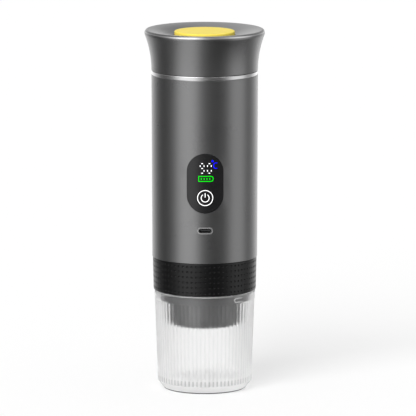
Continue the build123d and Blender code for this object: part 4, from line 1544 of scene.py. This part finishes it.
@dataclass
class Lid(SubAssembly):
    """The flared lid, its liner and the vent with its return spring."""

    body: str = "lid"
    spring_wire: float = 0.42
    spring_turns: int = 3
    turn_steps: int = 48
    wire_sides: int = 16
    vent_travel: float = 1.5

    def build(self) -> None:
        """Winds the return spring where the CAD node is, on a mesh of its own."""
        low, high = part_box("vent_spring")
        wire = self.spring_wire * MM
        steps = self.spring_turns * self.turn_steps
        tall = high[2] - low[2]
        bm = bmesh.new()
        upright = Matrix.Rotation(math.radians(90.0), 4, "X")
        start = Matrix.Translation(((high[0] - low[0]) / 2 - wire, 0.0, low[2] + wire))
        bmesh.ops.create_circle(bm, segments=self.wire_sides, radius=wire, matrix=start @ upright)
        rise = (tall - 2.0 * wire) / steps
        spin(bm, whole(bm), 2.0 * math.pi * self.spring_turns, steps, rise)
        close_ends(bm)
        spring = self.piece("vent_spring_coil", bm, STAINLESS, ("vent_spring",))
        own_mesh(spring)

    def dress_nodes(self) -> None:
        """Gives the lid's nodes their finishes."""
        self.dress(SATIN_BODY, "lid_shell")
        self.dress(LINER_GREY, "lid_liner", "vent_stem")
        self.dress(YELLOW_SILICONE, "vent_button")
        self.dress(SEAL_SILICONE, "vent_valve", "lid_seal")


@dataclass(frozen=True)
class Softbox:
    """A tall soft panel of the room, seen only in shiny surfaces.

    Attributes:
        bearing: Direction of its middle, in degrees from the front.
        half: Half its width, in degrees.
        level: Brightness at the horizon.
        top: Brightness high up.
    """

    bearing: float
    half: float
    level: float
    top: float


@dataclass
class Studio:
    """Floor, light and camera, with bearings in degrees from the front."""

    camera_distance: float = 3.6
    camera_elevation: float = 9.3
    camera_bearing: float = -0.55
    camera_field: float = 4.388
    camera_reach: float = 50.0
    target: tuple[float, float, float] = (0.0022, 0.0, 0.12045)
    ambient: float = 0.56
    mirror_dim: float = 0.03
    left_panel: Softbox = Softbox(bearing=-39.0, half=26.0, level=0.84, top=3.0)
    right_panel: Softbox = Softbox(bearing=76.0, half=23.0, level=0.68, top=1.3)
    panel_top: Ramp = Ramp(0.0, 3.3)
    panel_foot: Ramp = Ramp(-0.75, 2.0)
    back_edges: Pair = (-138.0, 132.0)
    back_sharpness: float = 12.0
    back_level: float = 1.2
    back_top: float = 0.5
    back_gap: Pair = (172.5, 3.6)
    back_gap_depth: float = 0.7
    wall_crossings: float = 2.0
    ceiling: float = 0.2
    floor_size: float = 9.0
    floor_cells: int = 8
    floor_tones: Pair = (0.968, 0.982)
    floor_drift: float = 1.5
    floor_glow: float = 0.54
    through_glow: float = 1.0
    key_energy: float = 2.5
    key_spread: float = 39.0
    key_bearing: float = -29.0
    key_elevation: float = 36.5

    def camera(self) -> None:
        """Puts the camera where the photograph was taken from."""
        data = bpy.data.cameras.new("photo_camera")
        data.sensor_fit = "HORIZONTAL"
        data.angle = math.radians(self.camera_field)
        data.clip_end = self.camera_reach
        made = linked("photo_camera", data)
        tilt = math.radians(self.camera_elevation)
        turn = math.radians(self.camera_bearing)
        level = math.cos(tilt)
        away = Vector((math.sin(turn) * level, -math.cos(turn) * level, math.sin(tilt)))
        made.location = Vector(self.target) + away * self.camera_distance
        made.rotation_euler = (math.pi / 2 - tilt, 0.0, turn)
        bpy.context.scene.camera = made

    def floor(self) -> None:
        """Lays a pale floor that keeps the maker's shadow."""
        bm = bmesh.new()
        cells = self.floor_cells
        bmesh.ops.create_grid(bm, x_segments=cells, y_segments=cells, size=self.floor_size)
        mesh = bpy.data.meshes.new("studio_floor")
        bm.to_mesh(mesh)
        bm.free()
        material = bpy.data.materials.new("pale_floor")
        material.use_nodes = True
        graph = Graph(material.node_tree)
        drift = graph.noise(graph.place(), self.floor_drift, detail=2.0)
        tone = graph.mix(drift, *((level, level, level, 1.0) for level in self.floor_tones))
        matt = graph.add("BsdfDiffuse", {"Color": tone})
        white = graph.add("Emission", {"Color": (1.0, 1.0, 1.0, 1.0), "Strength": 1.0})
        through = graph.ray("Is Transmission Ray") * self.through_glow
        glow = graph.ray("Is Camera Ray") * self.floor_glow + through
        mixed = graph.add("MixShader", {0: glow, 1: matt, 2: white})
        clear = graph.add("BsdfTransparent")
        mixed = graph.add("MixShader", {0: self.mirror_rays(graph), 1: mixed, 2: clear})
        graph.add("OutputMaterial", {"Surface": mixed})
        mesh.materials.append(material)
        made = linked("studio_floor", mesh)
        made.visible_glossy = False

    @staticmethod
    def seen_rays(graph: Graph) -> Wire:
        """Picks the rays that see the background directly or through clear plastic."""
        return graph.ray("Is Camera Ray").highest(graph.ray("Is Transmission Ray"))

    def mirror_rays(self, graph: Graph) -> Wire:
        """Picks the rays thrown back by a shiny surface, also those that leave through the cup.

        Args:
            graph: Graph of the floor or of the world.

        Returns:
            1 for such a ray.
        """
        through = graph.ray("Is Transmission Ray")
        beyond_wall = (graph.ray("Transmission Depth") - self.wall_crossings).clamped()
        thrown_back = through * graph.ray("Glossy Depth").lowest(1.0) * beyond_wall
        return graph.ray("Is Glossy Ray") * (1.0 - through) + thrown_back

    def world(self) -> None:
        """Surrounds the maker with a white room whose tall panels show in its metal."""
        world = bpy.data.worlds.new("studio_room")
        bpy.context.scene.world = world
        world.use_nodes = True
        world.cycles.sampling_method = "NONE"
        graph = Graph(world.node_tree)
        x, y, z = graph.axes(graph.place("Generated"))
        bearing = x.bearing(0.0 - y)

        def panel(middle: float, half: float) -> Wire:
            """Makes a tall soft panel.

            Args:
                middle: Bearing of its middle, in degrees.
                half: Half its width, in degrees.

            Returns:
                1 in its middle, falling to 0 on both sides.
            """
            offset = (bearing - math.radians(middle)) / math.radians(half)
            square = offset * offset
            return 1.0 / (1.0 + square * square)

        def beyond(edge: float) -> Wire:
            """Makes the white room behind the maker, from a bearing in degrees onwards."""
            share = (bearing / math.radians(edge)).highest(0.0)
            return 1.0 - 1.0 / (1.0 + share**self.back_sharpness)

        high = z.past(self.panel_top)
        low = z.past(self.panel_foot)
        left, right = self.left_panel, self.right_panel
        rise = left.level + high * (left.top - left.level)
        mirror = self.mirror_dim + panel(left.bearing, left.half) * rise
        rise = low * right.level + high * (right.top - right.level)
        mirror = mirror + panel(right.bearing, right.half) * rise
        gap = 1.0 - panel(*self.back_gap) * self.back_gap_depth
        back = (self.back_level - high * (self.back_level - self.back_top)) * gap
        for edge in self.back_edges:
            mirror = mirror + beyond(edge) * back
        mirror = mirror + high * self.ceiling
        seen = self.seen_rays(graph)
        glossy = self.mirror_rays(graph)
        plain = seen + (1.0 - seen) * self.ambient
        light = {"Color": glossy * mirror + (1.0 - glossy) * plain, "Strength": 1.0}
        graph.add("OutputWorld", {"Surface": graph.add("Background", light)})

    def key(self) -> None:
        """Adds the soft key light from the left front, which throws the shadow."""
        data = bpy.data.lights.new("key_light", "SUN")
        data.energy = self.key_energy
        data.angle = math.radians(self.key_spread)
        made = linked("key_light", data)
        tilt = math.radians(90.0 - self.key_elevation)
        made.rotation_euler = (tilt, 0.0, math.radians(self.key_bearing))
        made.visible_glossy = False

    def build(self) -> None:
        """Builds the studio."""
        self.camera()
        self.floor()
        self.world()
        self.key()


def main() -> None:
    """Builds the maker's pieces in order, then the studio."""
    logging.basicConfig(level=logging.INFO, format="%(name)s: %(message)s")
    bpy.context.scene.view_settings.view_transform = "Standard"
    ClearCup().build()
    GripRing().build()
    BrewHead().dress_nodes()
    Body().dress_nodes()
    ScrewThread().build()
    ScrewThread(name="spigot_thread", finish=INNER_BLACK, radius=26.6, low=81.6, high=87.6).build()
    for part in (DisplayPanel(), PowerButton()):
        part.build()
        part.dress_nodes()
    Pump().dress_nodes()
    lid = Lid()
    lid.build()
    lid.dress_nodes()
    Studio().build()


if __name__ == "__main__":
    main()
